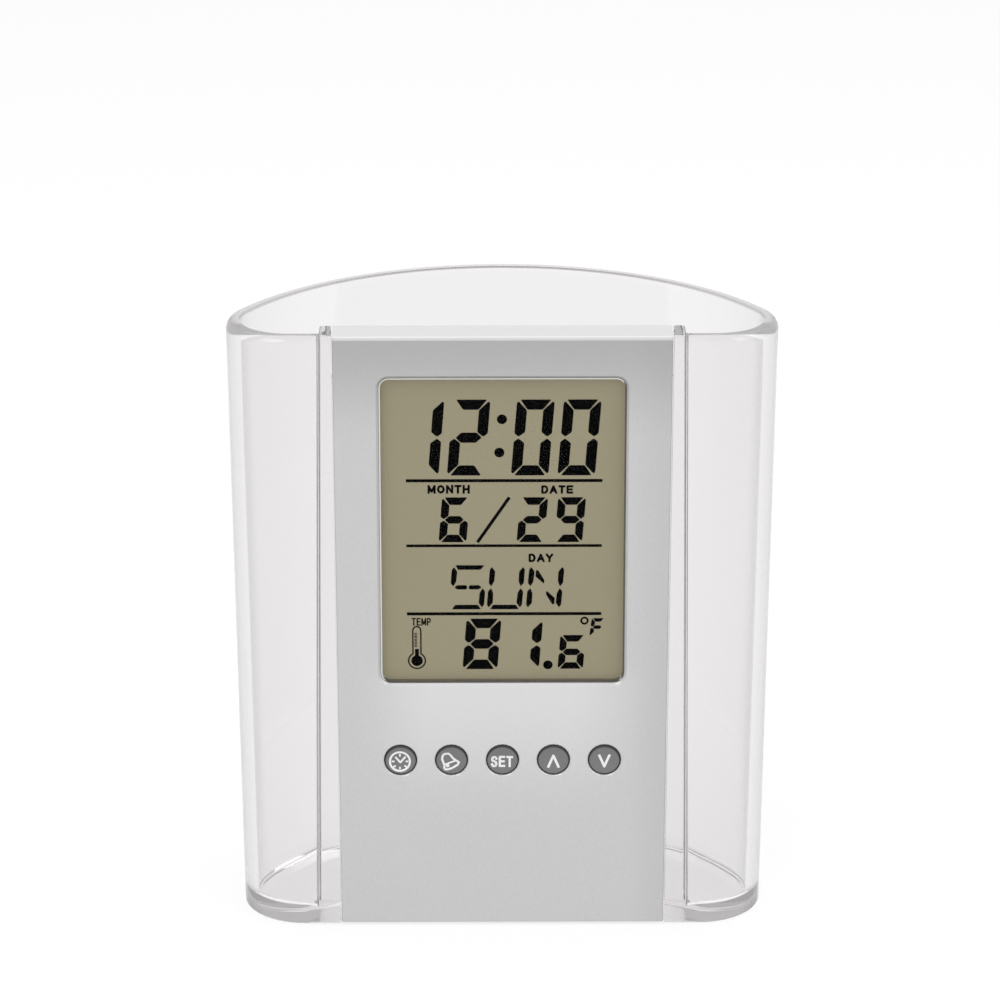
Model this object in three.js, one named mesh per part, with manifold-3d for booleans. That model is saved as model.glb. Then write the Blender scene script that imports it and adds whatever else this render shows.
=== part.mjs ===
// Pen holder clock: a clear half-oval pen cup whose front is closed by a slim clock module.
// Millimetres, +Z up. The origin lies on the table under the middle of the cup, and the front faces -Y.
import * as THREE from 'three';
import { mergeVertices } from 'three/addons/utils/BufferGeometryUtils.js';
import Module from 'manifold-3d';

const wasm = await Module();
wasm.setup();

// Driving dimensions

const overrun = 1;
const seatGap = 0.05;

const cup = {
  height: 120,
  rimWidth: 104,
  rimDepth: 47.5,
  sideDraft: 1.5,
  depthDraft: 1.5,
  cornerRadius: 12.3,
  wall: 2.6,
  floor: 3,
  rimRound: 2,
  rimInnerRound: 0.4,
  footRound: 0.6,
  floorFillet: 1.5,
};

const jamb = {
  depth: 7.3,
  topThickness: 2.3,
  footThickness: 4.2,
  clearance: 0.25,
};

const guide = {
  proud: 0.7,
  thickness: 0.7,
  clearance: 0.25,
  topDrop: 9,
  lead: 1.5,
};

const clock = {
  width: 63.4,
  sideDraft: 0.5,
  depth: 7.5,
  partingDepth: 4.5,
  groundGap: 0.3,
  floorGap: 0.3,
};

const panel = {
  skin: 1.2,
  wall: 1.5,
  edgeRound: 0.35,
};

const opening = {
  sideMargin: 8.5,
  rimMargin: 8.1,
  keyMargin: 15.9,
  cornerRadius: 2,
  bevel: 0.45,
};

const lens = {
  recess: 0.35,
  clearance: 0.1,
  flangeWidth: 2,
  flange: 0.6,
  locatingRib: 0.8,
};

const lcd = {
  sideMargin: 1.8,
  topMargin: 2.5,
  bottomMargin: 2.9,
  ledge: 2.5,
  glass: 0.55,
  film: 0.2,
  filmMargin: 0.8,
  gap: 0.1,
};

const holder = {
  wall: 0.85,
  clearance: 0.15,
  flange: 0.95,
  flangeWidth: 2.4,
  pinRadius: 0.7,
  pinInset: 2,
  pinReach: 0.4,
};

const zebra = {
  height: 2,
  endMargin: 2,
  clearance: 0.2,
};

const board = {
  sideMargin: 0.3,
  topMargin: 1.8,
  keyMargin: 6.4,
  thickness: 1,
  cornerRadius: 1,
  holeClearance: 0.15,
};

const key = {
  count: 5,
  pitch: 9.78,
  holeDiameter: 6.4,
  clearance: 0.2,
  holeChamfer: 0.2,
  faceRecess: 0.2,
  faceRound: 0.45,
  dishDepth: 0.15,
  flangeWidth: 0.9,
  flange: 0.7,
  flangeGap: 0.1,
  postRadius: 1.6,
  post: 0.3,
};

const keyMat = {
  height: 8,
  cellMargin: 3.6,
  endMargin: 4.5,
  web: 0.5,
  domeFootRadius: 3.4,
  domeTopRadius: 2.3,
  cornerRadius: 1.2,
};

const rear = {
  wall: 1,
  sideWall: 2.35,
  lipInset: 1.65,
  lip: 0.8,
  edgeRound: 0.5,
  postRadius: 1.2,
};

const housingScrew = {
  headRadius: 1.7,
  head: 1.1,
  shankRadius: 0.85,
  length: 4,
  clearance: 0.15,
  tipTaper: 0.4,
  seatDepth: 6.2,
  bossRadius: 1.9,
  tubeWall: 0.8,
  upperInset: 3.6,
  upperDrop: 12,
  lowerInset: 9.2,
  lowerRise: 9,
};

const boardScrew = {
  headRadius: 1.6,
  head: 0.9,
  shankRadius: 0.8,
  length: 3,
  clearance: 0.1,
  tipTaper: 0.4,
  bossRadius: 1.9,
  inset: 2.8,
  keyRise: 8.4,
};

const screwSlot = {
  width: 0.5,
  depth: 0.4,
};

const cell = {
  radius: 10,
  thickness: 3.2,
  capRadius: 8.6,
  capStep: 0.25,
  frontDepth: 3,
  edgeRound: 0.4,
};

const well = {
  clearance: 0.3,
  wall: 0.9,
  floor: 0.6,
  floorDepth: 2.6,
  footGap: 0.1,
};

const door = {
  sideMargin: 2.1,
  footGap: 2,
  thickness: 1,
  clearance: 0.2,
  hingeRise: 1.5,
  hingeDepth: 6.75,
  pinRadius: 0.45,
  pinReach: 0.8,
  pinClearance: 0.15,
  topReach: 0.45,
  swingClearance: 0.2,
  ledgeWidth: 1.4,
  ledge: 1.25,
  notchRadius: 3,
  detentRadius: 0.6,
  detentProud: 0.15,
  detentWidth: 5,
  padRadius: 4,
};

const contact = {
  thickness: 0.25,
  width: 3,
  slotClearance: 0.5,
  tailReach: 2,
  riserReach: 0.3,
  leafReach: 1.1,
  negativeX: 6.5,
  tongue: 4,
  tongueLift: 0.12,
  padReach: 2,
};

const buzzer = {
  x: -10,
  rise: 11.5,
  plateRadius: 10,
  ceramicRadius: 7,
  plate: 0.2,
  ceramic: 0.2,
  clearance: 0.2,
  ledgeWidth: 1.4,
  ledge: 0.3,
  collarWall: 0.8,
  soundHoleRadius: 0.6,
  soundHoleRing: 3,
  soundHoleCount: 6,
};

const lead = {
  radius: 0.25,
  startX: 3,
  endX: 6,
  startRise: 4,
  run: 15,
  bow: 2,
};

const chip = {
  x: 11,
  radius: 7,
  dome: 1.05,
};

const crystal = {
  x: 6,
  keyRise: 8.4,
  radius: 1,
  length: 6,
};

const thermistor = {
  inset: 8.3,
  keyRise: 6.4,
  radius: 0.55,
  length: 3,
};

const capacitor = {
  rise: 11,
  spacing: 4,
  width: 1.3,
  length: 2,
  thickness: 0.9,
};

const vent = {
  count: 4,
  width: 1,
  length: 8,
  pitch: 2.4,
};

const rearPost = {
  inset: 2.1,
  lowerDrop: 1.5,
  upperDrop: 16,
};

// Facet counts

const cornerSteps = 12;
const backSteps = 24;
const outlineSteps = 4;
const roundSteps = 4;
const smallRoundSteps = 2;
const wheelSides = 24;
const pinSides = 12;

// Places worked out from the driving dimensions

const frontY = -cup.rimDepth / 2;
const clockBottom = cup.floor;
const clockTop = cup.height;
const lensFlangeBack = panel.skin + lens.flange;
const lcdFront = lensFlangeBack + lcd.gap;
const lcdMiddle = lcdFront + lcd.glass;
const lcdBack = lcdMiddle + lcd.glass;
const filmBack = lcdBack + lcd.film;
const holderFlangeFront = filmBack + seatGap;
const boardFront = holderFlangeFront + holder.flange;
const boardBack = boardFront + board.thickness;
const rearWallFront = clock.depth - rear.wall;
const keyFlangeBack = panel.skin + key.flangeGap + key.flange;
const keyBack = keyFlangeBack + key.post;
const domeTop = keyBack + seatGap;
const matFront = boardFront - keyMat.web;
const wellRadius = cell.radius + well.clearance;
const wellOuterRadius = wellRadius + well.wall;
const wellFloorFront = well.floorDepth - well.floor;
const cellHeight = clockBottom + panel.wall + wellOuterRadius + well.footGap;
const keyHeight = cellHeight + wellOuterRadius + keyMat.cellMargin + keyMat.height / 2;
const openingHalf = clock.width / 2 - opening.sideMargin;
const openingBottom = keyHeight + opening.keyMargin;
const openingTop = clockTop - opening.rimMargin;
const lcdHalf = openingHalf + lcd.sideMargin;
const lcdBottom = openingBottom - lcd.bottomMargin;
const lcdTop = openingTop + lcd.topMargin;
const boardHalf = lcdHalf + board.sideMargin;
const boardBottom = keyHeight - board.keyMargin;
const boardTop = lcdTop + board.topMargin;
const sounderHeight = openingBottom + buzzer.rise;
const thermistorX = boardHalf - thermistor.inset;
const thermistorHeight = keyHeight + thermistor.keyRise;
const doorBack = clock.depth - seatGap;
const doorFront = doorBack - door.thickness;
const ledgeBack = doorFront - seatGap;
const ledgeFront = ledgeBack - door.ledge + seatGap;
const doorHalf = wellRadius + door.sideMargin;
const recessHalf = doorHalf + door.clearance;
const doorBottom = clockBottom + door.footGap;
const hingeHeight = cellHeight + wellRadius + door.hingeRise;
const doorTop = hingeHeight + door.topReach;
const hingeSweep = Math.hypot(door.topReach, doorBack - door.hingeDepth) + door.swingClearance;

// Half width of the clock module, which narrows a little towards the table
function clockHalfWidth(height) {
  const drop = (clockTop - height) / (clockTop - clock.groundGap);
  return clock.width / 2 - clock.sideDraft * drop;
}

// Solid helpers

function toSolid(geometry) {
  const shape = geometry.clone();
  shape.deleteAttribute('normal');
  shape.deleteAttribute('uv');
  const merged = mergeVertices(shape);
  return new wasm.Manifold(new wasm.Mesh({
    numProp: 3,
    vertProperties: Float32Array.from(merged.attributes.position.array),
    triVerts: Uint32Array.from(merged.index.array),
  }));
}

function toGeometry(solid) {
  const mesh = solid.getMesh();
  const geometry = new THREE.BufferGeometry();
  geometry.setAttribute('position', new THREE.BufferAttribute(Float32Array.from(mesh.vertProperties), 3));
  geometry.setIndex(new THREE.BufferAttribute(Uint32Array.from(mesh.triVerts), 1));
  geometry.computeVertexNormals();
  return geometry;
}

function joined(solids) {
  return solids.reduce((sum, solid) => sum.add(solid));
}

function cut(solid, tools) {
  return tools.reduce((rest, tool) => rest.subtract(tool), solid);
}

// Plate with an outline in X and Z, from one depth behind the front face to another
function plate(shape, from, to, options = {}) {
  const geometry = new THREE.ExtrudeGeometry(shape, {
    depth: to - from,
    bevelEnabled: false,
    curveSegments: outlineSteps,
    ...options,
  });
  geometry.rotateX(Math.PI / 2);
  geometry.translate(0, frontY + to, 0);
  return toSolid(geometry);
}

// Plate whose edges are rounded on its front face, or on its rear face when asked
function roundedPlate(shape, from, to, round, rearFace = false) {
  const near = rearFace ? from - overrun : from;
  const far = rearFace ? to : to + overrun;
  const body = plate(shape, near + round, far - round, {
    bevelEnabled: true,
    bevelThickness: round,
    bevelSize: round,
    bevelOffset: -round,
    bevelSegments: smallRoundSteps,
  });
  return body.intersect(plate(taperedShape(-overrun, clockTop + overrun, -overrun), from, to));
}

function box(minX, maxX, from, to, bottom, top) {
  const geometry = new THREE.BoxGeometry(maxX - minX, to - from, top - bottom);
  geometry.translate((minX + maxX) / 2, frontY + (from + to) / 2, (bottom + top) / 2);
  return toSolid(geometry);
}

// Round post along the depth, with another radius at its rear end when asked
function post(x, height, from, to, radius, rearRadius = radius, sides = pinSides) {
  const geometry = new THREE.CylinderGeometry(rearRadius, radius, to - from, sides);
  geometry.translate(x, frontY + (from + to) / 2, height);
  return toSolid(geometry);
}

// Round bar along X
function bar(minX, maxX, depth, height, radius, sides = pinSides) {
  const geometry = new THREE.CylinderGeometry(radius, radius, maxX - minX, sides);
  geometry.rotateZ(Math.PI / 2);
  geometry.translate((minX + maxX) / 2, frontY + depth, height);
  return toSolid(geometry);
}

// Turned piece whose profile holds radius and depth, from the axis back to the axis
function turned(profile, x, height, sides = wheelSides) {
  const points = profile.map(([radius, depth]) => new THREE.Vector2(radius, depth));
  const geometry = new THREE.LatheGeometry(points, sides);
  geometry.translate(x, frontY, height);
  return toSolid(geometry);
}

// Strip with a profile in depth and height, bent from sheet and as wide as asked
function bentStrip(profile, minX, maxX) {
  const shape = new THREE.Shape(profile.map(([depth, height]) => new THREE.Vector2(depth, height)));
  const geometry = new THREE.ExtrudeGeometry(shape, { depth: maxX - minX, bevelEnabled: false });
  geometry.rotateX(Math.PI / 2);
  geometry.rotateZ(Math.PI / 2);
  geometry.translate(minX, frontY, 0);
  return toSolid(geometry);
}

// Solid through a stack of outlines with equal point counts, each at its own height
function loft(sections) {
  const ring = sections[0].outline.length;
  const positions = [];
  sections.forEach(({ height, outline }) => {
    outline.forEach((point) => positions.push(point.x, frontY + point.y, height));
  });
  const indices = [];
  for (let level = 0; level < sections.length - 1; level += 1) {
    for (let side = 0; side < ring; side += 1) {
      const here = level * ring + side;
      const next = level * ring + (side + 1) % ring;
      indices.push(here, next, next + ring);
      indices.push(here, next + ring, here + ring);
    }
  }
  const last = (sections.length - 1) * ring;
  THREE.ShapeUtils.triangulateShape(sections[0].outline, []).forEach(([a, b, c]) => indices.push(c, b, a));
  THREE.ShapeUtils.triangulateShape(sections[sections.length - 1].outline, [])
    .forEach(([a, b, c]) => indices.push(last + a, last + b, last + c));
  const geometry = new THREE.BufferGeometry();
  geometry.setAttribute('position', new THREE.Float32BufferAttribute(positions, 3));
  geometry.setIndex(indices);
  return toSolid(geometry);
}

// Outlines

function roundedRectangle(minX, maxX, bottom, top, radius) {
  const shape = new THREE.Shape();
  shape.moveTo(minX + radius, bottom);
  shape.lineTo(maxX - radius, bottom);
  shape.absarc(maxX - radius, bottom + radius, radius, -Math.PI / 2, 0);
  shape.lineTo(maxX, top - radius);
  shape.absarc(maxX - radius, top - radius, radius, 0, Math.PI / 2);
  shape.lineTo(minX + radius, top);
  shape.absarc(minX + radius, top - radius, radius, Math.PI / 2, Math.PI);
  shape.lineTo(minX, bottom + radius);
  shape.absarc(minX + radius, bottom + radius, radius, Math.PI, Math.PI * 1.5);
  return shape;
}

// Front view of the clock module between two heights, drawn in by an inset on every side
function taperedShape(bottom, top, inset = 0) {
  const low = bottom + inset;
  const high = top - inset;
  return new THREE.Shape([
    new THREE.Vector2(-clockHalfWidth(low) + inset, low),
    new THREE.Vector2(clockHalfWidth(low) - inset, low),
    new THREE.Vector2(clockHalfWidth(high) - inset, high),
    new THREE.Vector2(-clockHalfWidth(high) + inset, high),
  ]);
}

// Upright strip beside the clock module, between two distances outside its edge at each end
function sideStrip(side, bottom, top, near, farBottom, farTop = farBottom) {
  return new THREE.Shape([
    new THREE.Vector2(side * (clockHalfWidth(bottom) + near), bottom),
    new THREE.Vector2(side * (clockHalfWidth(bottom) + farBottom), bottom),
    new THREE.Vector2(side * (clockHalfWidth(top) + farTop), top),
    new THREE.Vector2(side * (clockHalfWidth(top) + near), top),
  ]);
}

// Plan of the cup: a flat front, two round front corners and one wide arc round the back
function cupOutline(height, inset) {
  const drop = 1 - height / cup.height;
  const depth = cup.rimDepth - cup.depthDraft * drop;
  const straight = cup.rimWidth / 2 - cup.sideDraft * drop - cup.cornerRadius;
  const backRadius = (straight ** 2 / (depth - 2 * cup.cornerRadius) + depth) / 2;
  const backCentre = depth - backRadius;
  const join = Math.atan2(cup.cornerRadius - backCentre, straight);
  const corner = cup.cornerRadius - inset;
  return [
    ...arcPoints(straight, cup.cornerRadius, corner, -Math.PI / 2, join, cornerSteps),
    ...arcPoints(0, backCentre, backRadius - inset, join, Math.PI - join, backSteps).slice(1, -1),
    ...arcPoints(-straight, cup.cornerRadius, corner, Math.PI - join, Math.PI * 1.5, cornerSteps),
  ];
}

function arcPoints(centreX, centreY, radius, start, end, steps) {
  return Array.from({ length: steps + 1 }, (unused, step) => {
    const angle = THREE.MathUtils.lerp(start, end, step / steps);
    return new THREE.Vector2(centreX + radius * Math.cos(angle), centreY + radius * Math.sin(angle));
  });
}

// Quarter-round steps that run from an edge's lower end to its upper end
function quarterSteps(count) {
  return Array.from({ length: count + 1 }, (unused, step) => (step / count) * (Math.PI / 2));
}

// The clear cup

function cupBody() {
  const sections = [];
  quarterSteps(smallRoundSteps).forEach((angle) => sections.push({
    height: cup.footRound * (1 - Math.cos(angle)),
    inset: cup.footRound * (1 - Math.sin(angle)),
  }));
  quarterSteps(roundSteps).forEach((angle) => sections.push({
    height: cup.height - cup.rimRound * (1 - Math.sin(angle)),
    inset: cup.rimRound * (1 - Math.cos(angle)),
  }));
  return loft(sections.map(({ height, inset }) => ({ height, outline: cupOutline(height, inset) })));
}

function cupHollow() {
  const sections = [];
  quarterSteps(roundSteps).forEach((angle) => sections.push({
    height: cup.floor + cup.floorFillet * (1 - Math.cos(angle)),
    inset: cup.wall + cup.floorFillet * (1 - Math.sin(angle)),
  }));
  quarterSteps(smallRoundSteps).forEach((angle) => sections.push({
    height: cup.height - cup.rimInnerRound * (1 - Math.sin(angle)),
    inset: cup.wall - cup.rimInnerRound * (1 - Math.cos(angle)),
  }));
  sections.push({ height: cup.height + overrun, inset: cup.wall - cup.rimInnerRound });
  return loft(sections.map(({ height, inset }) => ({ height, outline: cupOutline(height, inset) })));
}

// Wall on each side of the clock slot, thicker at its foot than at the rim
function jambWall(side) {
  const shape = sideStrip(
    side,
    0,
    cup.height + overrun,
    jamb.clearance,
    jamb.clearance + jamb.footThickness,
    jamb.clearance + jamb.topThickness,
  );
  return plate(shape, 0, jamb.depth);
}

// Rib on a jamb that runs in the groove along the clock module's parting line
function guideRib(side) {
  const top = cup.height - guide.topDrop;
  const tip = jamb.clearance - guide.proud;
  const shape = new THREE.Shape([
    new THREE.Vector2(side * (clockHalfWidth(cup.floor) + tip), cup.floor),
    new THREE.Vector2(side * (clockHalfWidth(cup.floor) + jamb.topThickness), cup.floor),
    new THREE.Vector2(side * (clockHalfWidth(top) + jamb.topThickness), top),
    new THREE.Vector2(side * (clockHalfWidth(top) + jamb.clearance), top),
    new THREE.Vector2(side * (clockHalfWidth(top - guide.lead) + tip), top - guide.lead),
  ]);
  const half = guide.thickness / 2;
  return plate(shape, clock.partingDepth - half, clock.partingDepth + half);
}

function makeCup() {
  const hollow = cut(cupHollow(), [jambWall(-1), jambWall(1)]);
  const slotOutline = taperedShape(cup.floor + jamb.clearance, cup.height + overrun, -jamb.clearance);
  const slot = plate(slotOutline, -overrun, clock.depth + clock.floorGap);
  const skirtOutline = taperedShape(-overrun, cup.floor + overrun, -jamb.clearance);
  const skirtNotch = plate(skirtOutline, -overrun, panel.skin + clock.floorGap);
  return cut(cupBody(), [hollow, slot, skirtNotch]).add(guideRib(-1)).add(guideRib(1));
}

// The clock module's two shells

function grooveCutter(side) {
  const deep = jamb.clearance - guide.proud - guide.clearance;
  const shape = sideStrip(side, 0, cup.height - guide.topDrop + guide.lead, deep, overrun);
  const half = guide.thickness / 2 + guide.clearance;
  return plate(shape, clock.partingDepth - half, clock.partingDepth + half);
}

const housingScrewPlaces = [
  [clockHalfWidth(clockTop) - housingScrew.upperInset, clockTop - housingScrew.upperDrop],
  [clockHalfWidth(clockBottom) - housingScrew.lowerInset, clockBottom + housingScrew.lowerRise],
].flatMap(([x, height]) => [[-x, height], [x, height]]);

const boardScrewPlaces = [-1, 1].map((side) => (
  [side * (boardHalf - boardScrew.inset), keyHeight + boardScrew.keyRise]
));

const keyPlaces = Array.from(
  { length: key.count },
  (unused, index) => (index - (key.count - 1) / 2) * key.pitch,
);

function openingCutter() {
  const through = plate(
    roundedRectangle(-openingHalf, openingHalf, openingBottom, openingTop, opening.cornerRadius),
    -overrun,
    panel.skin + overrun,
  );
  const wide = openingHalf + opening.bevel;
  const flare = new THREE.ExtrudeGeometry(
    roundedRectangle(
      -wide,
      wide,
      openingBottom - opening.bevel,
      openingTop + opening.bevel,
      opening.cornerRadius + opening.bevel,
    ),
    {
      depth: overrun,
      bevelEnabled: true,
      bevelThickness: opening.bevel,
      bevelSize: opening.bevel,
      bevelOffset: -opening.bevel,
      bevelSegments: 1,
      curveSegments: outlineSteps,
    },
  );
  flare.rotateX(Math.PI / 2);
  flare.translate(0, frontY, 0);
  return through.add(toSolid(flare));
}

// Key hole with a small chamfer at the front face
function keyHoleCutter(x) {
  const radius = key.holeDiameter / 2;
  const wide = radius + key.holeChamfer;
  return turned([
    [0, -overrun],
    [wide + overrun, -overrun],
    [wide, 0],
    [radius, key.holeChamfer],
    [radius, panel.skin + overrun],
    [0, panel.skin + overrun],
  ], x, keyHeight);
}

// Low rib that frames the display window's flange from behind
function windowRib() {
  const inner = openingHalf + lens.flangeWidth + lens.clearance;
  const outer = inner + lens.locatingRib;
  const low = openingBottom - lens.flangeWidth - lens.clearance;
  const high = openingTop + lens.flangeWidth + lens.clearance;
  const ring = box(
    -outer,
    outer,
    panel.skin,
    lensFlangeBack,
    low - lens.locatingRib,
    high + lens.locatingRib,
  );
  return ring.subtract(box(-inner, inner, panel.skin - overrun, lensFlangeBack + overrun, low, high));
}

function makeFrontPanel() {
  const shell = roundedPlate(
    taperedShape(clock.groundGap, clockTop),
    0,
    clock.partingDepth,
    panel.edgeRound,
  );
  const pocket = plate(
    taperedShape(clockBottom, clockTop, panel.wall),
    panel.skin,
    clock.partingDepth + overrun,
  );
  const behindSkirt = box(
    -clock.width,
    clock.width,
    panel.skin,
    clock.partingDepth + overrun,
    -overrun,
    clockBottom,
  );
  const housingBosses = housingScrewPlaces.map(([x, height]) => (
    post(x, height, panel.skin, clock.partingDepth - seatGap, housingScrew.bossRadius)
  ));
  const boardBosses = boardScrewPlaces.map(([x, height]) => (
    post(x, height, panel.skin, boardFront, boardScrew.bossRadius)
  ));
  const housingPilots = housingScrewPlaces.map(([x, height]) => post(
    x,
    height,
    housingScrew.seatDepth - housingScrew.length - housingScrew.clearance,
    clock.partingDepth + overrun,
    housingScrew.shankRadius + housingScrew.clearance,
  ));
  const boardPilots = boardScrewPlaces.map(([x, height]) => post(
    x,
    height,
    boardBack - boardScrew.length - boardScrew.clearance,
    clock.partingDepth + overrun,
    boardScrew.shankRadius + boardScrew.clearance,
  ));
  const body = joined([cut(shell, [pocket, behindSkirt]), windowRib(), ...housingBosses, ...boardBosses]);
  return cut(body, [
    openingCutter(),
    ...keyPlaces.map(keyHoleCutter),
    ...housingPilots,
    ...boardPilots,
    grooveCutter(-1),
    grooveCutter(1),
  ]);
}

// Round well for the coin cell, with the ledge that the door closes against
function cellWell() {
  const radius = wellOuterRadius;
  const tube = post(0, cellHeight, wellFloorFront, rearWallFront, radius, radius, wheelSides);
  const ledgeHalf = recessHalf + door.ledgeWidth;
  const ledgeTop = hingeHeight + hingeSweep + door.ledgeWidth / 2;
  const ledge = box(-ledgeHalf, ledgeHalf, ledgeFront, rearWallFront, clockBottom, ledgeTop);
  return tube.add(ledge);
}

function cellWellCutters() {
  const back = clock.depth + overrun;
  const hollow = post(0, cellHeight, well.floorDepth, back, wellRadius, wellRadius, wheelSides);
  const recess = box(
    -recessHalf,
    recessHalf,
    ledgeBack,
    back,
    doorBottom - door.clearance,
    hingeHeight + hingeSweep,
  );
  const trough = bar(-recessHalf, recessHalf, door.hingeDepth, hingeHeight, hingeSweep, wheelSides);
  const pinReach = doorHalf + door.pinReach + door.pinClearance;
  const pinHole = bar(
    -pinReach,
    pinReach,
    door.hingeDepth,
    hingeHeight,
    door.pinRadius + door.pinClearance,
  );
  const thumbNotch = post(
    0,
    doorBottom - door.clearance,
    ledgeBack,
    back,
    door.notchRadius,
    door.notchRadius,
    wheelSides,
  ).intersect(box(
    -door.notchRadius,
    door.notchRadius,
    ledgeBack,
    back,
    clockBottom + rear.wall,
    doorBottom,
  ));
  const wallTop = cellHeight + wellOuterRadius + overrun;
  const positiveSlot = box(
    -contact.width / 2 - contact.slotClearance,
    contact.width / 2 + contact.slotClearance,
    wellFloorFront - overrun,
    boardFront + contact.leafReach,
    cellHeight + cell.radius,
    wallTop,
  );
  const negativeSlot = box(
    -contact.negativeX - contact.width / 2 - contact.slotClearance,
    -contact.negativeX + contact.width / 2 + contact.slotClearance,
    wellFloorFront - overrun,
    well.floorDepth + contact.thickness + seatGap,
    cellHeight + contact.negativeX,
    wallTop,
  );
  return [hollow, recess, trough, pinHole, thumbNotch, positiveSlot, negativeSlot];
}

// Ledge and collar that hold the sounder plate off the rear wall
function buzzerSeat() {
  const seatFront = rearWallFront - buzzer.ledge - buzzer.plate - buzzer.ceramic;
  const outer = buzzer.plateRadius + buzzer.clearance;
  const collarRadius = outer + buzzer.collarWall;
  const collar = post(
    buzzer.x,
    sounderHeight,
    seatFront,
    rearWallFront,
    collarRadius,
    collarRadius,
    wheelSides,
  );
  const mouth = post(
    buzzer.x,
    sounderHeight,
    seatFront - overrun,
    rearWallFront - buzzer.ledge,
    outer,
    outer,
    wheelSides,
  );
  const chamberRadius = outer - buzzer.ledgeWidth;
  const chamber = post(
    buzzer.x,
    sounderHeight,
    seatFront,
    rearWallFront,
    chamberRadius,
    chamberRadius,
    wheelSides,
  );
  return cut(collar, [mouth, chamber]);
}

function soundHoles() {
  return Array.from({ length: buzzer.soundHoleCount }, (unused, index) => {
    const angle = (index / buzzer.soundHoleCount) * Math.PI * 2;
    return post(
      buzzer.x + buzzer.soundHoleRing * Math.cos(angle),
      sounderHeight + buzzer.soundHoleRing * Math.sin(angle),
      rearWallFront - overrun,
      clock.depth + overrun,
      buzzer.soundHoleRadius,
    );
  });
}

function ventSlots() {
  return Array.from({ length: vent.count }, (unused, index) => {
    const x = thermistorX + (index - (vent.count - 1) / 2) * vent.pitch;
    const shape = roundedRectangle(
      x - vent.width / 2,
      x + vent.width / 2,
      thermistorHeight - vent.length / 2,
      thermistorHeight + vent.length / 2,
      vent.width / 2 - seatGap,
    );
    return plate(shape, rearWallFront - overrun, clock.depth + overrun);
  });
}

function rearHousingShell() {
  const shell = roundedPlate(
    taperedShape(clockBottom, clockTop),
    clock.partingDepth,
    clock.depth,
    rear.edgeRound,
    true,
  );
  const lipRing = plate(
    taperedShape(clockBottom, clockTop, rear.lipInset),
    clock.partingDepth - rear.lip,
    clock.partingDepth + seatGap,
  );
  const pocket = plate(
    taperedShape(clockBottom, clockTop, rear.sideWall),
    clock.partingDepth - rear.lip - overrun,
    rearWallFront,
  );
  return cut(shell.add(lipRing), [pocket]);
}

function makeRearHousing() {
  const tubeRadius = housingScrew.headRadius + housingScrew.clearance + housingScrew.tubeWall;
  const tubes = housingScrewPlaces.map(([x, height]) => (
    post(x, height, clock.partingDepth, rearWallFront, tubeRadius)
  ));
  const shankHoles = housingScrewPlaces.map(([x, height]) => post(
    x,
    height,
    clock.partingDepth - overrun,
    clock.depth,
    housingScrew.shankRadius + housingScrew.clearance,
  ));
  const counterbores = housingScrewPlaces.map(([x, height]) => post(
    x,
    height,
    housingScrew.seatDepth,
    clock.depth + overrun,
    housingScrew.headRadius + housingScrew.clearance,
  ));
  const bossReliefs = housingScrewPlaces.map(([x, height]) => post(
    x,
    height,
    clock.partingDepth - rear.lip - overrun,
    clock.partingDepth,
    housingScrew.bossRadius + housingScrew.clearance,
  ));
  const boardPosts = [-1, 1].flatMap((side) => (
    [openingBottom - rearPost.lowerDrop, clockTop - rearPost.upperDrop].map((height) => (
      post(side * (boardHalf - rearPost.inset), height, boardBack + seatGap, rearWallFront, rear.postRadius)
    ))
  ));
  const body = joined([rearHousingShell(), ...tubes, ...boardPosts, cellWell(), buzzerSeat()]);
  return cut(body, [
    ...shankHoles,
    ...counterbores,
    ...bossReliefs,
    ...cellWellCutters(),
    ...soundHoles(),
    ...ventSlots(),
    grooveCutter(-1),
    grooveCutter(1),
  ]);
}

// The battery door, hung on two pins at its top edge

function makeBatteryDoor() {
  const leaf = plate(
    roundedRectangle(-doorHalf, doorHalf, doorBottom, doorTop, door.topReach),
    doorFront,
    doorBack,
  );
  const pinReach = doorHalf + door.pinReach;
  const pins = bar(-pinReach, pinReach, door.hingeDepth, hingeHeight, door.pinRadius);
  const knuckle = bar(-doorHalf, doorHalf, door.hingeDepth, hingeHeight, door.topReach);
  const pad = post(
    0,
    cellHeight,
    cell.frontDepth + cell.thickness + seatGap,
    doorFront + seatGap,
    door.padRadius,
    door.padRadius,
    wheelSides,
  );
  const detent = bar(
    -door.detentWidth,
    door.detentWidth,
    (doorFront + doorBack) / 2,
    doorBottom + door.detentRadius - door.detentProud,
    door.detentRadius,
  ).intersect(box(-doorHalf, doorHalf, doorFront, doorBack, clockBottom, doorTop));
  return joined([leaf, knuckle, pins, pad, detent]);
}

// The display

function makeDisplayWindow() {
  const half = openingHalf - lens.clearance;
  const raised = plate(
    roundedRectangle(
      -half,
      half,
      openingBottom + lens.clearance,
      openingTop - lens.clearance,
      opening.cornerRadius - lens.clearance,
    ),
    lens.recess,
    lensFlangeBack,
  );
  const wide = openingHalf + lens.flangeWidth;
  const flange = box(
    -wide,
    wide,
    panel.skin,
    lensFlangeBack,
    openingBottom - lens.flangeWidth,
    openingTop + lens.flangeWidth,
  );
  return raised.add(flange);
}

function makeLcdFrontGlass() {
  return box(-lcdHalf, lcdHalf, lcdFront, lcdMiddle, lcdBottom, lcdTop);
}

function makeLcdBackGlass() {
  return box(-lcdHalf, lcdHalf, lcdMiddle, lcdBack, lcdBottom + lcd.ledge, lcdTop);
}

function makeLcdReflector() {
  const half = lcdHalf - lcd.filmMargin;
  const low = lcdBottom + lcd.ledge + lcd.filmMargin;
  return box(-half, half, lcdBack, filmBack, low, lcdTop - lcd.filmMargin);
}

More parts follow.
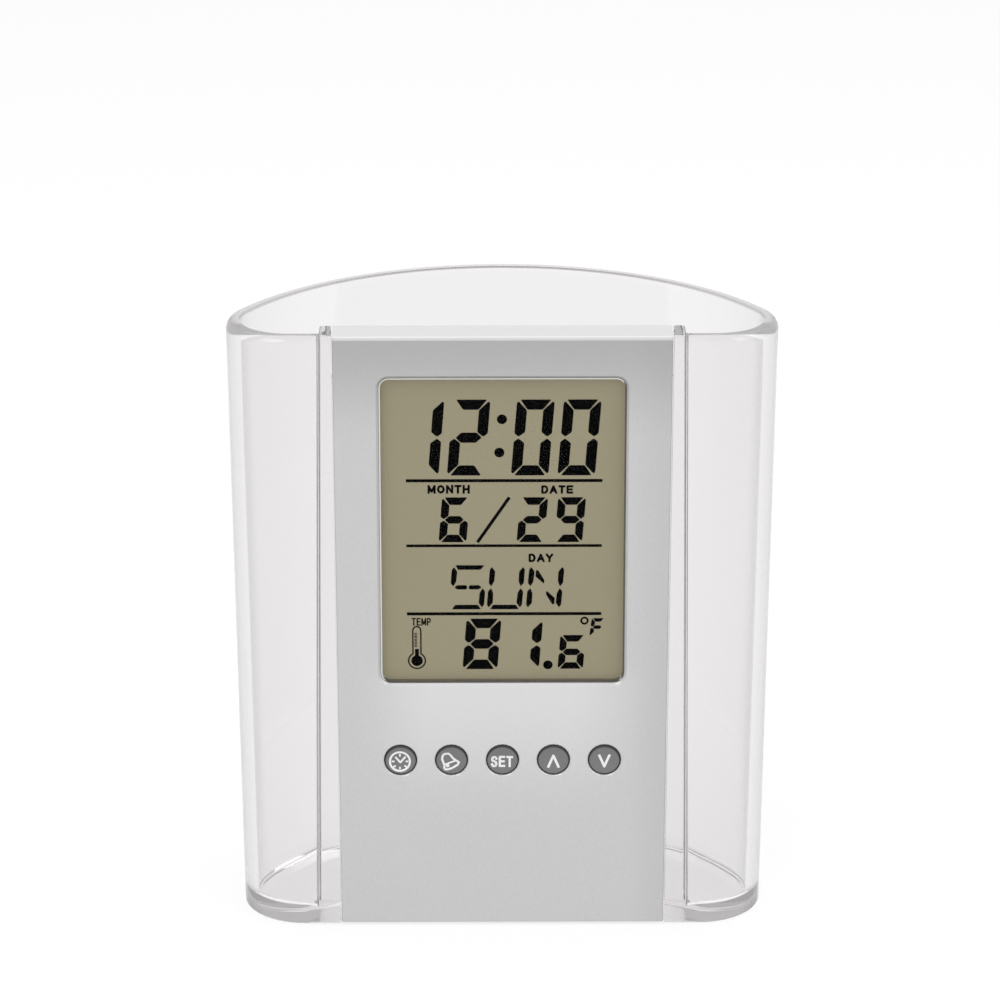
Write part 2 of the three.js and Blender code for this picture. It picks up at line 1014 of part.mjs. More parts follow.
// Tray that frames the glass and keeps the contact strip in line, pinned to the circuit board
function makeLcdHolder() {
  const inner = lcdHalf + holder.clearance;
  const outer = inner + holder.wall;
  const low = lcdBottom - holder.clearance;
  const high = lcdTop + holder.clearance;
  const frame = box(-outer, outer, lcdFront, boardFront, low - holder.wall, high + holder.wall);
  const glassRoom = box(-inner, inner, lcdFront - overrun, holderFlangeFront, low, high);
  const view = box(
    -inner + holder.flangeWidth,
    inner - holder.flangeWidth,
    lcdFront,
    boardFront + overrun,
    low + lcd.ledge + holder.flangeWidth,
    high - holder.flangeWidth,
  );
  const stripHalf = lcdHalf - zebra.endMargin + zebra.clearance;
  const stripRoom = box(
    -stripHalf,
    stripHalf,
    lcdFront,
    boardFront + overrun,
    lcdBottom,
    lcdBottom + zebra.height + zebra.clearance + zebra.clearance,
  );
  const pins = holderPinPlaces().map(([x, height]) => (
    post(x, height, boardFront - seatGap, boardBack + holder.pinReach, holder.pinRadius)
  ));
  return joined([cut(frame, [glassRoom, view, stripRoom]), ...pins]);
}

function holderPinPlaces() {
  const x = lcdHalf - holder.pinInset;
  return [-x, x].flatMap((side) => (
    [lcdBottom + lcd.ledge + holder.pinInset, lcdTop - holder.pinInset].map((height) => [side, height])
  ));
}

// Rubber strip that joins the glass ledge to the board's printed pads
function makeContactStrip() {
  const low = lcdBottom + zebra.clearance;
  const half = lcdHalf - zebra.endMargin;
  return box(-half, half, lcdMiddle, boardFront, low, low + zebra.height);
}

// The circuit board and what is soldered to it

function makeCircuitBoard() {
  const blank = plate(
    roundedRectangle(-boardHalf, boardHalf, boardBottom, boardTop, board.cornerRadius),
    boardFront,
    boardBack,
  );
  const pinHoles = holderPinPlaces().map(([x, height]) => post(
    x,
    height,
    boardFront - overrun,
    boardBack + overrun,
    holder.pinRadius + board.holeClearance,
  ));
  const screwHoles = boardScrewPlaces.map(([x, height]) => post(
    x,
    height,
    boardFront - overrun,
    boardBack + overrun,
    boardScrew.shankRadius + board.holeClearance,
  ));
  return cut(blank, [...pinHoles, ...screwHoles]);
}

function makeChipCover() {
  const steps = quarterSteps(roundSteps);
  const dome = steps.map((angle) => [
    chip.radius * Math.cos(angle),
    boardBack + chip.dome * Math.sin(angle),
  ]);
  dome[dome.length - 1][0] = 0;
  return turned([[0, boardBack], ...dome], chip.x, sounderHeight);
}

function makeCrystal() {
  const depth = boardFront - crystal.radius - seatGap;
  const half = crystal.length / 2;
  return bar(crystal.x - half, crystal.x + half, depth, keyHeight + crystal.keyRise, crystal.radius);
}

function makeThermistor() {
  const depth = boardBack + thermistor.radius + seatGap;
  const half = thermistor.length / 2;
  return bar(thermistorX - half, thermistorX + half, depth, thermistorHeight, thermistor.radius);
}

function makeCapacitor(index) {
  const height = sounderHeight + capacitor.rise + index * capacitor.spacing;
  return box(
    chip.x - capacitor.length / 2,
    chip.x + capacitor.length / 2,
    boardBack,
    boardBack + capacitor.thickness,
    height - capacitor.width / 2,
    height + capacitor.width / 2,
  );
}

// The keys and their rubber mat

function makeKeyCap(x) {
  const radius = key.holeDiameter / 2 - key.clearance;
  const flangeRadius = radius + key.flangeWidth;
  const face = quarterSteps(smallRoundSteps).map((angle) => [
    radius - key.faceRound * (1 - Math.sin(angle)),
    key.faceRecess + key.faceRound * (1 - Math.cos(angle)),
  ]);
  return turned([
    [0, key.faceRecess + key.dishDepth],
    [radius / 2, key.faceRecess + key.dishDepth / 2],
    ...face,
    [radius, panel.skin + key.flangeGap],
    [flangeRadius, panel.skin + key.flangeGap],
    [flangeRadius, keyFlangeBack],
    [key.postRadius, keyFlangeBack],
    [key.postRadius, keyBack],
    [0, keyBack],
  ], x, keyHeight);
}

function makeKeyMat() {
  const half = keyPlaces[keyPlaces.length - 1] + keyMat.endMargin;
  const web = plate(
    roundedRectangle(
      -half,
      half,
      keyHeight - keyMat.height / 2,
      keyHeight + keyMat.height / 2,
      keyMat.cornerRadius,
    ),
    matFront,
    boardFront,
  );
  const domes = keyPlaces.map((x) => post(
    x,
    keyHeight,
    domeTop,
    matFront + seatGap,
    keyMat.domeTopRadius,
    keyMat.domeFootRadius,
    wheelSides,
  ));
  return joined([web, ...domes]);
}

// The coin cell and its contacts

function makeCoinCell() {
  const back = cell.frontDepth + cell.thickness;
  const rim = cell.frontDepth + cell.capStep;
  return turned([
    [0, cell.frontDepth],
    [cell.capRadius - cell.edgeRound, cell.frontDepth],
    [cell.capRadius, rim],
    [cell.radius - cell.edgeRound, rim],
    [cell.radius, rim + cell.edgeRound],
    [cell.radius, back - cell.edgeRound],
    [cell.radius - cell.edgeRound, back],
    [0, back],
  ], 0, cellHeight);
}

// Leaf against the cell's rim, with a tail soldered to the front of the board
function makePositiveContact() {
  const tailFront = boardFront - seatGap - contact.thickness;
  const tailBack = boardFront - seatGap;
  const leafLow = cellHeight + cell.radius + seatGap / 2;
  const leafHigh = leafLow + contact.thickness - seatGap / 2;
  return bentStrip([
    [tailFront, leafLow],
    [tailBack + contact.leafReach, leafLow],
    [tailBack + contact.leafReach, leafHigh],
    [tailBack, leafHigh],
    [tailBack, boardBottom + contact.tailReach],
    [tailFront, boardBottom + contact.tailReach],
  ], -contact.width / 2, contact.width / 2);
}

// Strip along the well's floor with a sprung tongue, a step and a soldered tail
function makeNegativeContact() {
  const stripFront = well.floorDepth;
  const stripBack = stripFront + contact.thickness;
  const tailFront = boardFront - seatGap - contact.thickness;
  const tailBack = boardFront - seatGap;
  const tongueRoot = cellHeight - contact.padReach;
  const tongueTip = tongueRoot - contact.tongue;
  return bentStrip([
    [stripFront, tongueRoot],
    [stripFront + contact.tongueLift, tongueTip],
    [stripBack + contact.tongueLift, tongueTip],
    [stripBack, tongueRoot],
    [stripBack, boardBottom + contact.riserReach - contact.thickness],
    [tailBack, boardBottom + contact.riserReach - contact.thickness],
    [tailBack, boardBottom + contact.tailReach],
    [tailFront, boardBottom + contact.tailReach],
    [tailFront, boardBottom + contact.riserReach],
    [stripFront, boardBottom + contact.riserReach],
  ], -contact.negativeX - contact.width / 2, -contact.negativeX + contact.width / 2);
}

// The sounder and its two leads

function makeBuzzer() {
  const back = rearWallFront - buzzer.ledge;
  const plateFront = back - buzzer.plate;
  return turned([
    [0, plateFront - buzzer.ceramic],
    [buzzer.ceramicRadius, plateFront - buzzer.ceramic],
    [buzzer.ceramicRadius, plateFront],
    [buzzer.plateRadius, plateFront],
    [buzzer.plateRadius, back],
    [0, back],
  ], buzzer.x, sounderHeight);
}

// Lead from the sounder up to the board, bowed a little to one side
function makeBuzzerLead(side) {
  const depth = frontY + boardBack + lead.radius + seatGap;
  const low = sounderHeight + lead.startRise;
  const route = new THREE.CatmullRomCurve3([
    new THREE.Vector3(buzzer.x + side * lead.startX, depth, low),
    new THREE.Vector3(buzzer.x + side * (lead.startX + lead.bow), depth, low + lead.run / 3),
    new THREE.Vector3(buzzer.x + side * lead.endX, depth, low + lead.run),
  ]);
  const section = new THREE.Shape();
  section.absarc(0, 0, lead.radius, 0, Math.PI * 2);
  return toSolid(new THREE.ExtrudeGeometry(section, {
    steps: wheelSides / 2,
    curveSegments: smallRoundSteps + 1,
    extrudePath: route,
  }));
}

// Fasteners

function makeScrew(x, height, seat, fastener) {
  const tip = seat - fastener.length;
  const body = turned([
    [0, tip],
    [fastener.shankRadius - fastener.tipTaper, tip],
    [fastener.shankRadius, tip + fastener.tipTaper],
    [fastener.shankRadius, seat],
    [fastener.headRadius, seat],
    [fastener.headRadius, seat + fastener.head / 2],
    [fastener.headRadius - fastener.tipTaper, seat + fastener.head],
    [0, seat + fastener.head],
  ], x, height, pinSides);
  const top = seat + fastener.head;
  const half = screwSlot.width / 2;
  const reach = fastener.headRadius - fastener.tipTaper;
  return cut(body, [
    box(x - reach, x + reach, top - screwSlot.depth, top + overrun, height - half, height + half),
    box(x - half, x + half, top - screwSlot.depth, top + overrun, height - reach, height + reach),
  ]);
}

// Finishes

const finishes = {
  clearPlastic: { color: 0xf2f6f6, roughness: 0.05, metalness: 0, transparent: true, opacity: 0.3 },
  silverPlastic: { color: 0xc8c9cb, roughness: 0.38, metalness: 0.45 },
  greyPlastic: { color: 0x7f8082, roughness: 0.5, metalness: 0 },
  glass: { color: 0xcfd6cc, roughness: 0.05, metalness: 0, transparent: true, opacity: 0.5 },
  reflector: { color: 0x9c957d, roughness: 0.6, metalness: 0 },
  whitePlastic: { color: 0xe6e6e2, roughness: 0.5, metalness: 0 },
  rubber: { color: 0x55585c, roughness: 0.8, metalness: 0 },
  board: { color: 0x2f6a3c, roughness: 0.5, metalness: 0 },
  epoxy: { color: 0x151515, roughness: 0.35, metalness: 0 },
  steel: { color: 0xb9bbbd, roughness: 0.3, metalness: 1 },
  brass: { color: 0xc9a55a, roughness: 0.35, metalness: 1 },
  ceramic: { color: 0xb98a5a, roughness: 0.6, metalness: 0 },
  leadRed: { color: 0xa02020, roughness: 0.5, metalness: 0 },
  leadBlack: { color: 0x1a1a1a, roughness: 0.5, metalness: 0 },
};

function piece(name, solid, finish) {
  const mesh = new THREE.Mesh(toGeometry(solid), new THREE.MeshStandardMaterial(finishes[finish]));
  mesh.name = name;
  return mesh;
}

// Assembly

const penHolderClock = new THREE.Group();
penHolderClock.add(piece('cup', makeCup(), 'clearPlastic'));

const clockModule = new THREE.Group();
clockModule.add(
  piece('front_panel', makeFrontPanel(), 'silverPlastic'),
  piece('rear_housing', makeRearHousing(), 'silverPlastic'),
  piece('battery_door', makeBatteryDoor(), 'silverPlastic'),
  piece('display_window', makeDisplayWindow(), 'glass'),
  piece('lcd_front_glass', makeLcdFrontGlass(), 'glass'),
  piece('lcd_back_glass', makeLcdBackGlass(), 'glass'),
  piece('lcd_reflector', makeLcdReflector(), 'reflector'),
  piece('lcd_holder', makeLcdHolder(), 'whitePlastic'),
  piece('contact_strip', makeContactStrip(), 'rubber'),
  piece('circuit_board', makeCircuitBoard(), 'board'),
  piece('chip_cover', makeChipCover(), 'epoxy'),
  piece('crystal', makeCrystal(), 'steel'),
  piece('thermistor', makeThermistor(), 'epoxy'),
  piece('key_mat', makeKeyMat(), 'rubber'),
  piece('coin_cell', makeCoinCell(), 'steel'),
  piece('positive_contact', makePositiveContact(), 'steel'),
  piece('negative_contact', makeNegativeContact(), 'steel'),
  piece('buzzer', makeBuzzer(), 'brass'),
  piece('buzzer_lead_red', makeBuzzerLead(1), 'leadRed'),
  piece('buzzer_lead_black', makeBuzzerLead(-1), 'leadBlack'),
);

['capacitor_1', 'capacitor_2', 'capacitor_3'].forEach((name, index) => {
  clockModule.add(piece(name, makeCapacitor(index), 'ceramic'));
});

['key_clock', 'key_alarm', 'key_set', 'key_up', 'key_down'].forEach((name, index) => {
  clockModule.add(piece(name, makeKeyCap(keyPlaces[index]), 'greyPlastic'));
});

housingScrewPlaces.forEach(([x, height], index) => {
  const screw = makeScrew(x, height, housingScrew.seatDepth, housingScrew);
  clockModule.add(piece(`housing_screw_${index + 1}`, screw, 'steel'));
});

boardScrewPlaces.forEach(([x, height], index) => {
  const screw = makeScrew(x, height, boardBack, boardScrew);
  clockModule.add(piece(`board_screw_${index + 1}`, screw, 'steel'));
});

penHolderClock.add(clockModule);

export default penHolderClock;
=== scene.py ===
# Pen holder clock: the clear cup, the silver clock module, its display and its printed keys.
import math

import bmesh
import bpy
from mathutils import Matrix, Vector


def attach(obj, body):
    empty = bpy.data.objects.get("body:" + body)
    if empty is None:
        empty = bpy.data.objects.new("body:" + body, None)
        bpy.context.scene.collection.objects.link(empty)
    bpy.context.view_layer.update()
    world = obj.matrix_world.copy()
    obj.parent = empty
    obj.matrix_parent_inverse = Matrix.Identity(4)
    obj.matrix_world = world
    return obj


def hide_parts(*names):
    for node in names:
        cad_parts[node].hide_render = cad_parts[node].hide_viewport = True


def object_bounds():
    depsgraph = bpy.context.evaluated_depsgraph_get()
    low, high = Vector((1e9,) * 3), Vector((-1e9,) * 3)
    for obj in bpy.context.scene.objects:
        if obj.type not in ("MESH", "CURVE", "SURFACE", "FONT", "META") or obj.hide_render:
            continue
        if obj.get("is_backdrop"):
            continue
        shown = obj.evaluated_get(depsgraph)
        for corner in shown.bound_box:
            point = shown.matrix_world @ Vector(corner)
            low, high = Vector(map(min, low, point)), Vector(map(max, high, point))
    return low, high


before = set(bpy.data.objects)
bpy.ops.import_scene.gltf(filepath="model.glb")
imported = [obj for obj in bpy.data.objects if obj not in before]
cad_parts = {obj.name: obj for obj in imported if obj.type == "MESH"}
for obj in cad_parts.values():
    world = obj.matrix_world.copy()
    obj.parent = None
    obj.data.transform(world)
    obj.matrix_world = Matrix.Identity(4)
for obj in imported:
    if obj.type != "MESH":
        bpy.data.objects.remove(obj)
cad_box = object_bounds()

MM = 0.001
FRONT = -23.75

# Sizes in millimetres, as in the part's source

CUP = {
    "height": 120,
    "half_width": 52,
    "depth": 47.5,
    "side_draft": 1.5,
    "depth_draft": 1.5,
    "corner": 12.3,
    "wall": 2.6,
    "floor": 3,
    "rim_round": 1.95,
    "rim_inner_round": 0.4,
    "foot_round": 0.6,
    "floor_fillet": 1.5,
    "notch": 1.5,
}
JAMB = {"depth": 7.3, "top": 2.3, "foot": 4.2, "clearance": 0.25, "fillet": 0.5}
GUIDE = {"near": 4.15, "far": 4.85, "proud": 0.7, "top": 111, "lead": 1.5}
CLOCK = {"half_width": 31.7, "side_draft": 0.5, "ground_gap": 0.3}
KEY = {
    "radius": 3.0,
    "height": 34.6,
    "pitch": 9.78,
    "recess": 0.34,
    "dish": 0.26,
    "round": 0.2,
    "flange_radius": 3.9,
    "flange_front": 1.3,
    "flange_back": 2.0,
    "stem_radius": 1.6,
    "stem_end": 2.3,
}
WINDOW = {"half_width": 23.1, "bottom": 50.6, "top": 111.8, "corner": 1.9}

# The display's figures and the keys' signs, in millimetres

LCD_DEPTH = 1.865
FIGURE_THICKNESS = 0.012
SLANT = 0.078
SIGN = {"thickness": 0.03, "proud": 0.02, "drop": 0.42, "drawn_depth": 0.1}
LAYER = 0.002

# Where the silver front carries painted shade (top, right), a painted sheen (below the display)
# and a painted highlight (above the top edge), in millimetres from the middle or above the table

PAINTED_LIGHT = {
    "front_depth": 2,
    "top_edge": 119.3,
    "top_shade": (98, 121),
    "sheen_from": (20, 50),
    "sheen_to": (50, 56),
    "sheen_side": (12, 30),
    # painted shade towards the front's right
    "right": (23, 31),
}

# How far the lips of the openings look up: below the first a face is upright

LEANING = (0.3, 0.6)

# Mesh steps, and how closely a place has to lie on a line, a plane or a height to count as on it

CORNER_STEPS, BACK_STEPS, KEY_STEPS = 14, 48, 6
SMOOTH_ANGLE = 35
ON_LINE, ON_FACE, ON_PLANE, AT_HEIGHT = 0.15, 0.05, 0.02, 0.01


# Places

def point(x, depth, height):
    """A place in metres, from millimetres rightwards, behind the front face and above the table."""
    return Vector((x, FRONT + depth, height)) * MM


def clock_half(height):
    drop = (CUP["height"] - height) / (CUP["height"] - CLOCK["ground_gap"])
    return CLOCK["half_width"] - CLOCK["side_draft"] * drop


def slot_half(height):
    """Half the opening between the jambs, in which the clock slides."""
    return clock_half(height) + JAMB["clearance"]


def jamb_half(height):
    """How far from the middle the jambs' far sides lie."""
    share = height / CUP["height"]
    return slot_half(height) + JAMB["foot"] + (JAMB["top"] - JAMB["foot"]) * share


# Mesh helpers

def finish_piece(bm, name, material, body, keep_flats=False):
    """Makes the mesh an object that rides on a body, smooth up to an angle between faces."""
    mesh = bpy.data.meshes.new(name)
    bm.to_mesh(mesh)
    bm.free()
    mesh.shade_smooth()
    mesh.set_sharp_from_angle(angle=math.radians(SMOOTH_ANGLE))
    mesh.materials.append(material)
    piece = bpy.data.objects.new(name, mesh)
    bpy.context.scene.collection.objects.link(piece)
    if keep_flats:
        weighted = piece.modifiers.new("Flat faces", "WEIGHTED_NORMAL")
        weighted.keep_sharp = True
        weighted.weight = 100
    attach(piece, body)
    return piece


def sweep_arc(bm, start, centre, angle, steps):
    """Spins one vertex round a centre and returns the arc's new vertices."""
    before = set(bm.verts)
    bmesh.ops.spin(
        bm,
        geom=[start],
        cent=centre,
        axis=(0, 0, 1),
        angle=angle,
        steps=steps,
        use_merge=False,
        use_duplicate=False,
    )
    made = [v for v in bm.verts if v not in before]
    made.sort(key=lambda v: v.index)
    return made


def join(bm, a, b):
    if bm.edges.get((a, b)) is None:
        bm.edges.new((a, b))


# The clear cup

def outline_at(height):
    """The cup's outer line at a height.

    Half the straight front, the back arc's centre and radius, and the angle at which the corner
    arcs meet the back arc.
    """
    drop = 1 - height / CUP["height"]
    depth = CUP["depth"] - CUP["depth_draft"] * drop
    straight = CUP["half_width"] - CUP["side_draft"] * drop - CUP["corner"]
    radius = (straight ** 2 / (depth - 2 * CUP["corner"]) + depth) / 2
    back = depth - radius
    return straight, back, radius, math.atan2(CUP["corner"] - back, straight)


def on_outer(x, d, height):
    """True on the cup's outer line at a height."""
    straight, back, radius, meet = outline_at(height)
    if clock_half(height) < abs(x) <= straight and d < ON_FACE:
        return True
    past, behind = abs(x) - straight, d - CUP["corner"]
    if past > 0 and math.atan2(behind, past) < meet:
        return abs(math.hypot(past, behind) - CUP["corner"]) < ON_LINE
    return abs(math.hypot(x, d - back) - radius) < ON_LINE and behind > 0


def arc_side(bm, height, inset):
    """One wire round the cup from the right front to the left front, as three spins of a vertex."""
    straight, back, _, meet = outline_at(height)
    corner_turn = math.pi / 2 + meet
    wire = [bm.verts.new(point(straight, inset, height))]
    for x, depth, turn, steps in (
        (straight, CUP["corner"], corner_turn, CORNER_STEPS),
        (0, back, math.pi - 2 * meet, BACK_STEPS),
        (-straight, CUP["corner"], corner_turn, CORNER_STEPS),
    ):
        bm.verts.index_update()
        wire += sweep_arc(bm, wire[-1], point(x, depth, height), turn, steps)
    bm.verts.index_update()
    return wire


def chain(bm, places):
    """A run of new vertices joined by edges."""
    verts = [bm.verts.new(p) for p in places]
    for a, b in zip(verts, verts[1:]):
        join(bm, a, b)
    return verts


def wall_section(bm, height):
    """The wall's closed section at one height: outer line, left jamb, inner line, right jamb."""
    slot, jamb = slot_half(height), jamb_half(height)
    wall = CUP["wall"]
    depths = [0, CUP["notch"], GUIDE["near"], GUIDE["far"], JAMB["depth"]]
    outer = arc_side(bm, height, 0)
    left = chain(
        bm,
        [point(-slot, d, height) for d in depths]
        + [point(-jamb, JAMB["depth"], height), point(-jamb, wall, height)],
    )
    inner = list(reversed(arc_side(bm, height, wall)))
    right = chain(
        bm,
        [point(jamb, wall, height), point(jamb, JAMB["depth"], height)]
        + [point(slot, d, height) for d in reversed(depths)],
    )
    join(bm, outer[-1], left[0])
    join(bm, left[-1], inner[0])
    join(bm, inner[-1], right[0])
    join(bm, right[-1], outer[0])
    return {"outer": outer, "left": left, "inner": inner, "right": right}


def ring_edges(bm, verts):
    return [bm.edges.get((a, b)) for a, b in zip(verts, verts[1:] + verts[:1])]


def round_edges(bm, edges, size, segments):
    bmesh.ops.bevel(
        bm,
        geom=list(set(edges)),
        offset=size * MM,
        offset_type="OFFSET",
        segments=segments,
        profile=0.5,
        affect="EDGES",
        clamp_overlap=False,
        material=-1,
    )


def edges_near(bm, test):
    """The edges whose both ends pass a test on their places in millimetres."""
    def place(v):
        return v.co.x / MM, v.co.y / MM - FRONT, v.co.z / MM
    return [e for e in bm.edges if all(test(*place(v)) for v in e.verts)]


def edge_middle(edge):
    """An edge's middle in millimetres: to the right, and behind the front face."""
    middle = (edge.verts[0].co + edge.verts[1].co) / 2 / MM
    return middle.x, middle.y - FRONT


def make_cup(material):
    bm = bmesh.new()
    levels = [CUP["floor"], GUIDE["top"], CUP["height"]]
    sections = [wall_section(bm, z) for z in levels]
    loops = [s["outer"] + s["left"] + s["inner"] + s["right"] for s in sections]
    for low, high in zip(loops, loops[1:]):
        bmesh.ops.bridge_loops(bm, edges=ring_edges(bm, low) + ring_edges(bm, high))
    bmesh.ops.contextual_create(bm, geom=ring_edges(bm, loops[-1]))
    foot = sections[0]
    join(bm, foot["left"][1], foot["right"][-2])
    inside = foot["left"][1:] + foot["inner"] + foot["right"][:-1]
    bmesh.ops.contextual_create(bm, geom=ring_edges(bm, inside))
    outside = foot["outer"] + foot["left"][:2] + foot["right"][-2:]
    base = arc_side(bm, 0, 0)
    slot = slot_half(0)
    corners = ((-slot, 0), (-slot, CUP["notch"]), (slot, CUP["notch"]), (slot, 0))
    notch = chain(bm, [point(x, depth, 0) for x, depth in corners])
    join(bm, base[-1], notch[0])
    join(bm, notch[-1], base[0])
    base += notch
    bmesh.ops.bridge_loops(bm, edges=ring_edges(bm, base) + ring_edges(bm, outside))
    bmesh.ops.contextual_create(bm, geom=ring_edges(bm, base))
    for side, half in (("left", -1), ("right", 1)):
        make_guide(bm, sections, side, half)
    bmesh.ops.recalc_face_normals(bm, faces=bm.faces)
    round_cup(bm)
    return finish_piece(bm, "clear_cup", material, "cup", keep_flats=True)


def make_guide(bm, sections, side, half):
    """Pulls the guide rib out of the jamb's side, with a slope at its top."""
    near, far = (2, 3) if side == "left" else (-3, -4)
    corners = [
        sections[level][side][place]
        for level, place in ((0, near), (0, far), (1, far), (1, near))
    ]
    face = next(f for f in corners[0].link_faces if all(c in f.verts for c in corners))
    made = bmesh.ops.extrude_face_region(bm, geom=[face])["geom"]
    if face.is_valid:
        bmesh.ops.delete(bm, geom=[face], context="FACES_ONLY")
    verts = [g for g in made if isinstance(g, bmesh.types.BMVert)]
    bmesh.ops.translate(bm, verts=verts, vec=Vector((-half * GUIDE["proud"] * MM, 0, 0)))
    top = [v for v in verts if v.co.z > (GUIDE["top"] - 1) * MM]
    bmesh.ops.translate(bm, verts=top, vec=Vector((0, 0, -GUIDE["lead"] * MM)))


def round_cup(bm):
    """Rounds the rim, the foot, the jambs' corners and the line where wall and floor meet."""
    top, floor = CUP["height"], CUP["floor"]

    def jamb_far(x, d, z):
        return abs(abs(x) - jamb_half(z)) < ON_PLANE and z > floor - AT_HEIGHT

    upright = [
        e for e in edges_near(bm, jamb_far)
        if abs(e.verts[0].co.z - e.verts[1].co.z) > 5 * MM
    ]
    round_edges(bm, upright, JAMB["fillet"], 2)
    outer, inner = [], []
    for e in edges_near(bm, lambda x, d, z: z > top - AT_HEIGHT):
        if len(e.link_faces) == 2:
            (outer if on_outer(*edge_middle(e), top) else inner).append(e)
    round_edges(bm, outer, CUP["rim_round"], 6)
    round_edges(bm, [e for e in inner if e.is_valid], CUP["rim_inner_round"], 2)
    foot = [
        e for e in edges_near(bm, lambda x, d, z: z < AT_HEIGHT)
        if on_outer(*edge_middle(e), 0)
    ]
    round_edges(bm, foot, CUP["foot_round"], 3)
    fillet = []
    for e in edges_near(bm, lambda x, d, z: abs(z - floor) < AT_HEIGHT and d > 2):
        x, d = edge_middle(e)
        beside = abs(x) > clock_half(floor) + JAMB["foot"] + 1
        at_wall = d > JAMB["depth"] + ON_FACE or beside
        if len(e.link_faces) == 2 and at_wall and not on_outer(x, d, floor):
            fillet.append(e)
    round_edges(bm, fillet, CUP["floor_fillet"], 6)


# Flat shapes of the display and the prints

def solid_shapes(bm, faces, thickness):
    """Gives flat faces that look to the front a thickness towards the rear."""
    made = bmesh.ops.extrude_face_region(bm, geom=faces, use_keep_orig=True)["geom"]
    verts = [g for g in made if isinstance(g, bmesh.types.BMVert)]
    bmesh.ops.translate(bm, verts=verts, vec=Vector((0, thickness * MM, 0)))
    bmesh.ops.recalc_face_normals(bm, faces=bm.faces)


def polygon(bm, corners, depth):
    """A flat face at a depth from corners in x and height."""
    return bm.faces.new([bm.verts.new(point(x, depth, z)) for x, z in corners])


def circle(bm, x, z, radius, depth, sides, filled):
    """The vertices of a circle that faces the front."""
    upright = Matrix.Translation(point(x, depth, z)) @ Matrix.Rotation(math.pi / 2, 4, "X")
    made = bmesh.ops.create_circle(
        bm, cap_ends=filled, radius=radius * MM, segments=sides, matrix=upright
    )
    return made["verts"]


def disc(bm, x, z, radius, depth, sides=32):
    circle(bm, x, z, radius, depth, sides, True)


def ring(bm, x, z, outer, inner, depth, sides=40):
    loops = []
    for radius in (outer, inner):
        verts = circle(bm, x, z, radius, depth, sides, False)
        loops += list({e for v in verts for e in v.link_edges})
    bmesh.ops.bridge_loops(bm, edges=loops)


def stroke(bm, start, end, width, depth):
    """A straight bar between two places in x and height."""
    a, b = Vector(start), Vector(end)
    across = (b - a).normalized().orthogonal() * width / 2
    return polygon(bm, [a + across, a - across, b - across, b + across], depth)


def mirrored(shape, width):
    """The shape turned over left to right."""
    return [(width - x, z) for x, z in shape]


def flipped(shape, height):
    """The shape turned over top to bottom."""
    return [(x, height - z) for x, z in shape]


SEGMENTS = {
    "0": "abcdef",
    "1": "bc",
    "2": "abged",
    "6": "afgedc",
    "8": "abcdefg",
    "9": "abcdfg",
    "F": "aefg",
}


def segment_shapes(width, height, bar, gap):
    """The seven bars of an upright digit, as corner lists from its lower left."""
    m, cut = height / 2, bar * 0.27
    tip = bar * 0.42
    top = [
        (cut + gap * 0.4, height), (width - cut - gap * 0.4, height),
        (width - bar - gap * 0.3, height - bar), (bar + gap * 0.3, height - bar),
    ]
    upper_left = [
        (0, height - cut * 1.25), (cut * 0.5, height - cut * 0.6), (bar, height - bar - gap * 0.5),
        (bar, m + bar / 2 + gap * 0.4), (tip, m + gap * 0.75), (0, m + tip),
    ]
    end, half = bar + gap * 0.4, bar / 2
    middle = [
        (tip + gap, m), (end, m - half), (width - end, m - half),
        (width - tip - gap, m), (width - end, m + half), (end, m + half),
    ]
    lower_left = flipped(upper_left, height)
    return {
        "a": top, "d": flipped(top, height), "g": middle,
        "f": upper_left, "b": mirrored(upper_left, width),
        "e": lower_left, "c": mirrored(lower_left, width),
    }


def rounded(bm, face, size):
    """Rounds a flat face's corners."""
    bmesh.ops.bevel(
        bm,
        geom=list(face.verts),
        offset=size * MM,
        offset_type="OFFSET",
        segments=2,
        profile=0.5,
        affect="VERTICES",
        clamp_overlap=True,
        material=-1,
    )


def slanted_bar(bm, shape, x, z, slant, corner):
    """One bar of a figure on the display, with its corners rounded."""
    places = [(x + px + pz * slant, z + pz) for px, pz in shape]
    rounded(bm, polygon(bm, places, LCD_DEPTH), corner)


def digit(bm, sign, x, z, width, height, bar, gap, slant=SLANT):
    shapes = segment_shapes(width, height, bar, gap)
    for name in SEGMENTS[sign]:
        slanted_bar(bm, shapes[name], x, z, slant, bar * 0.12)


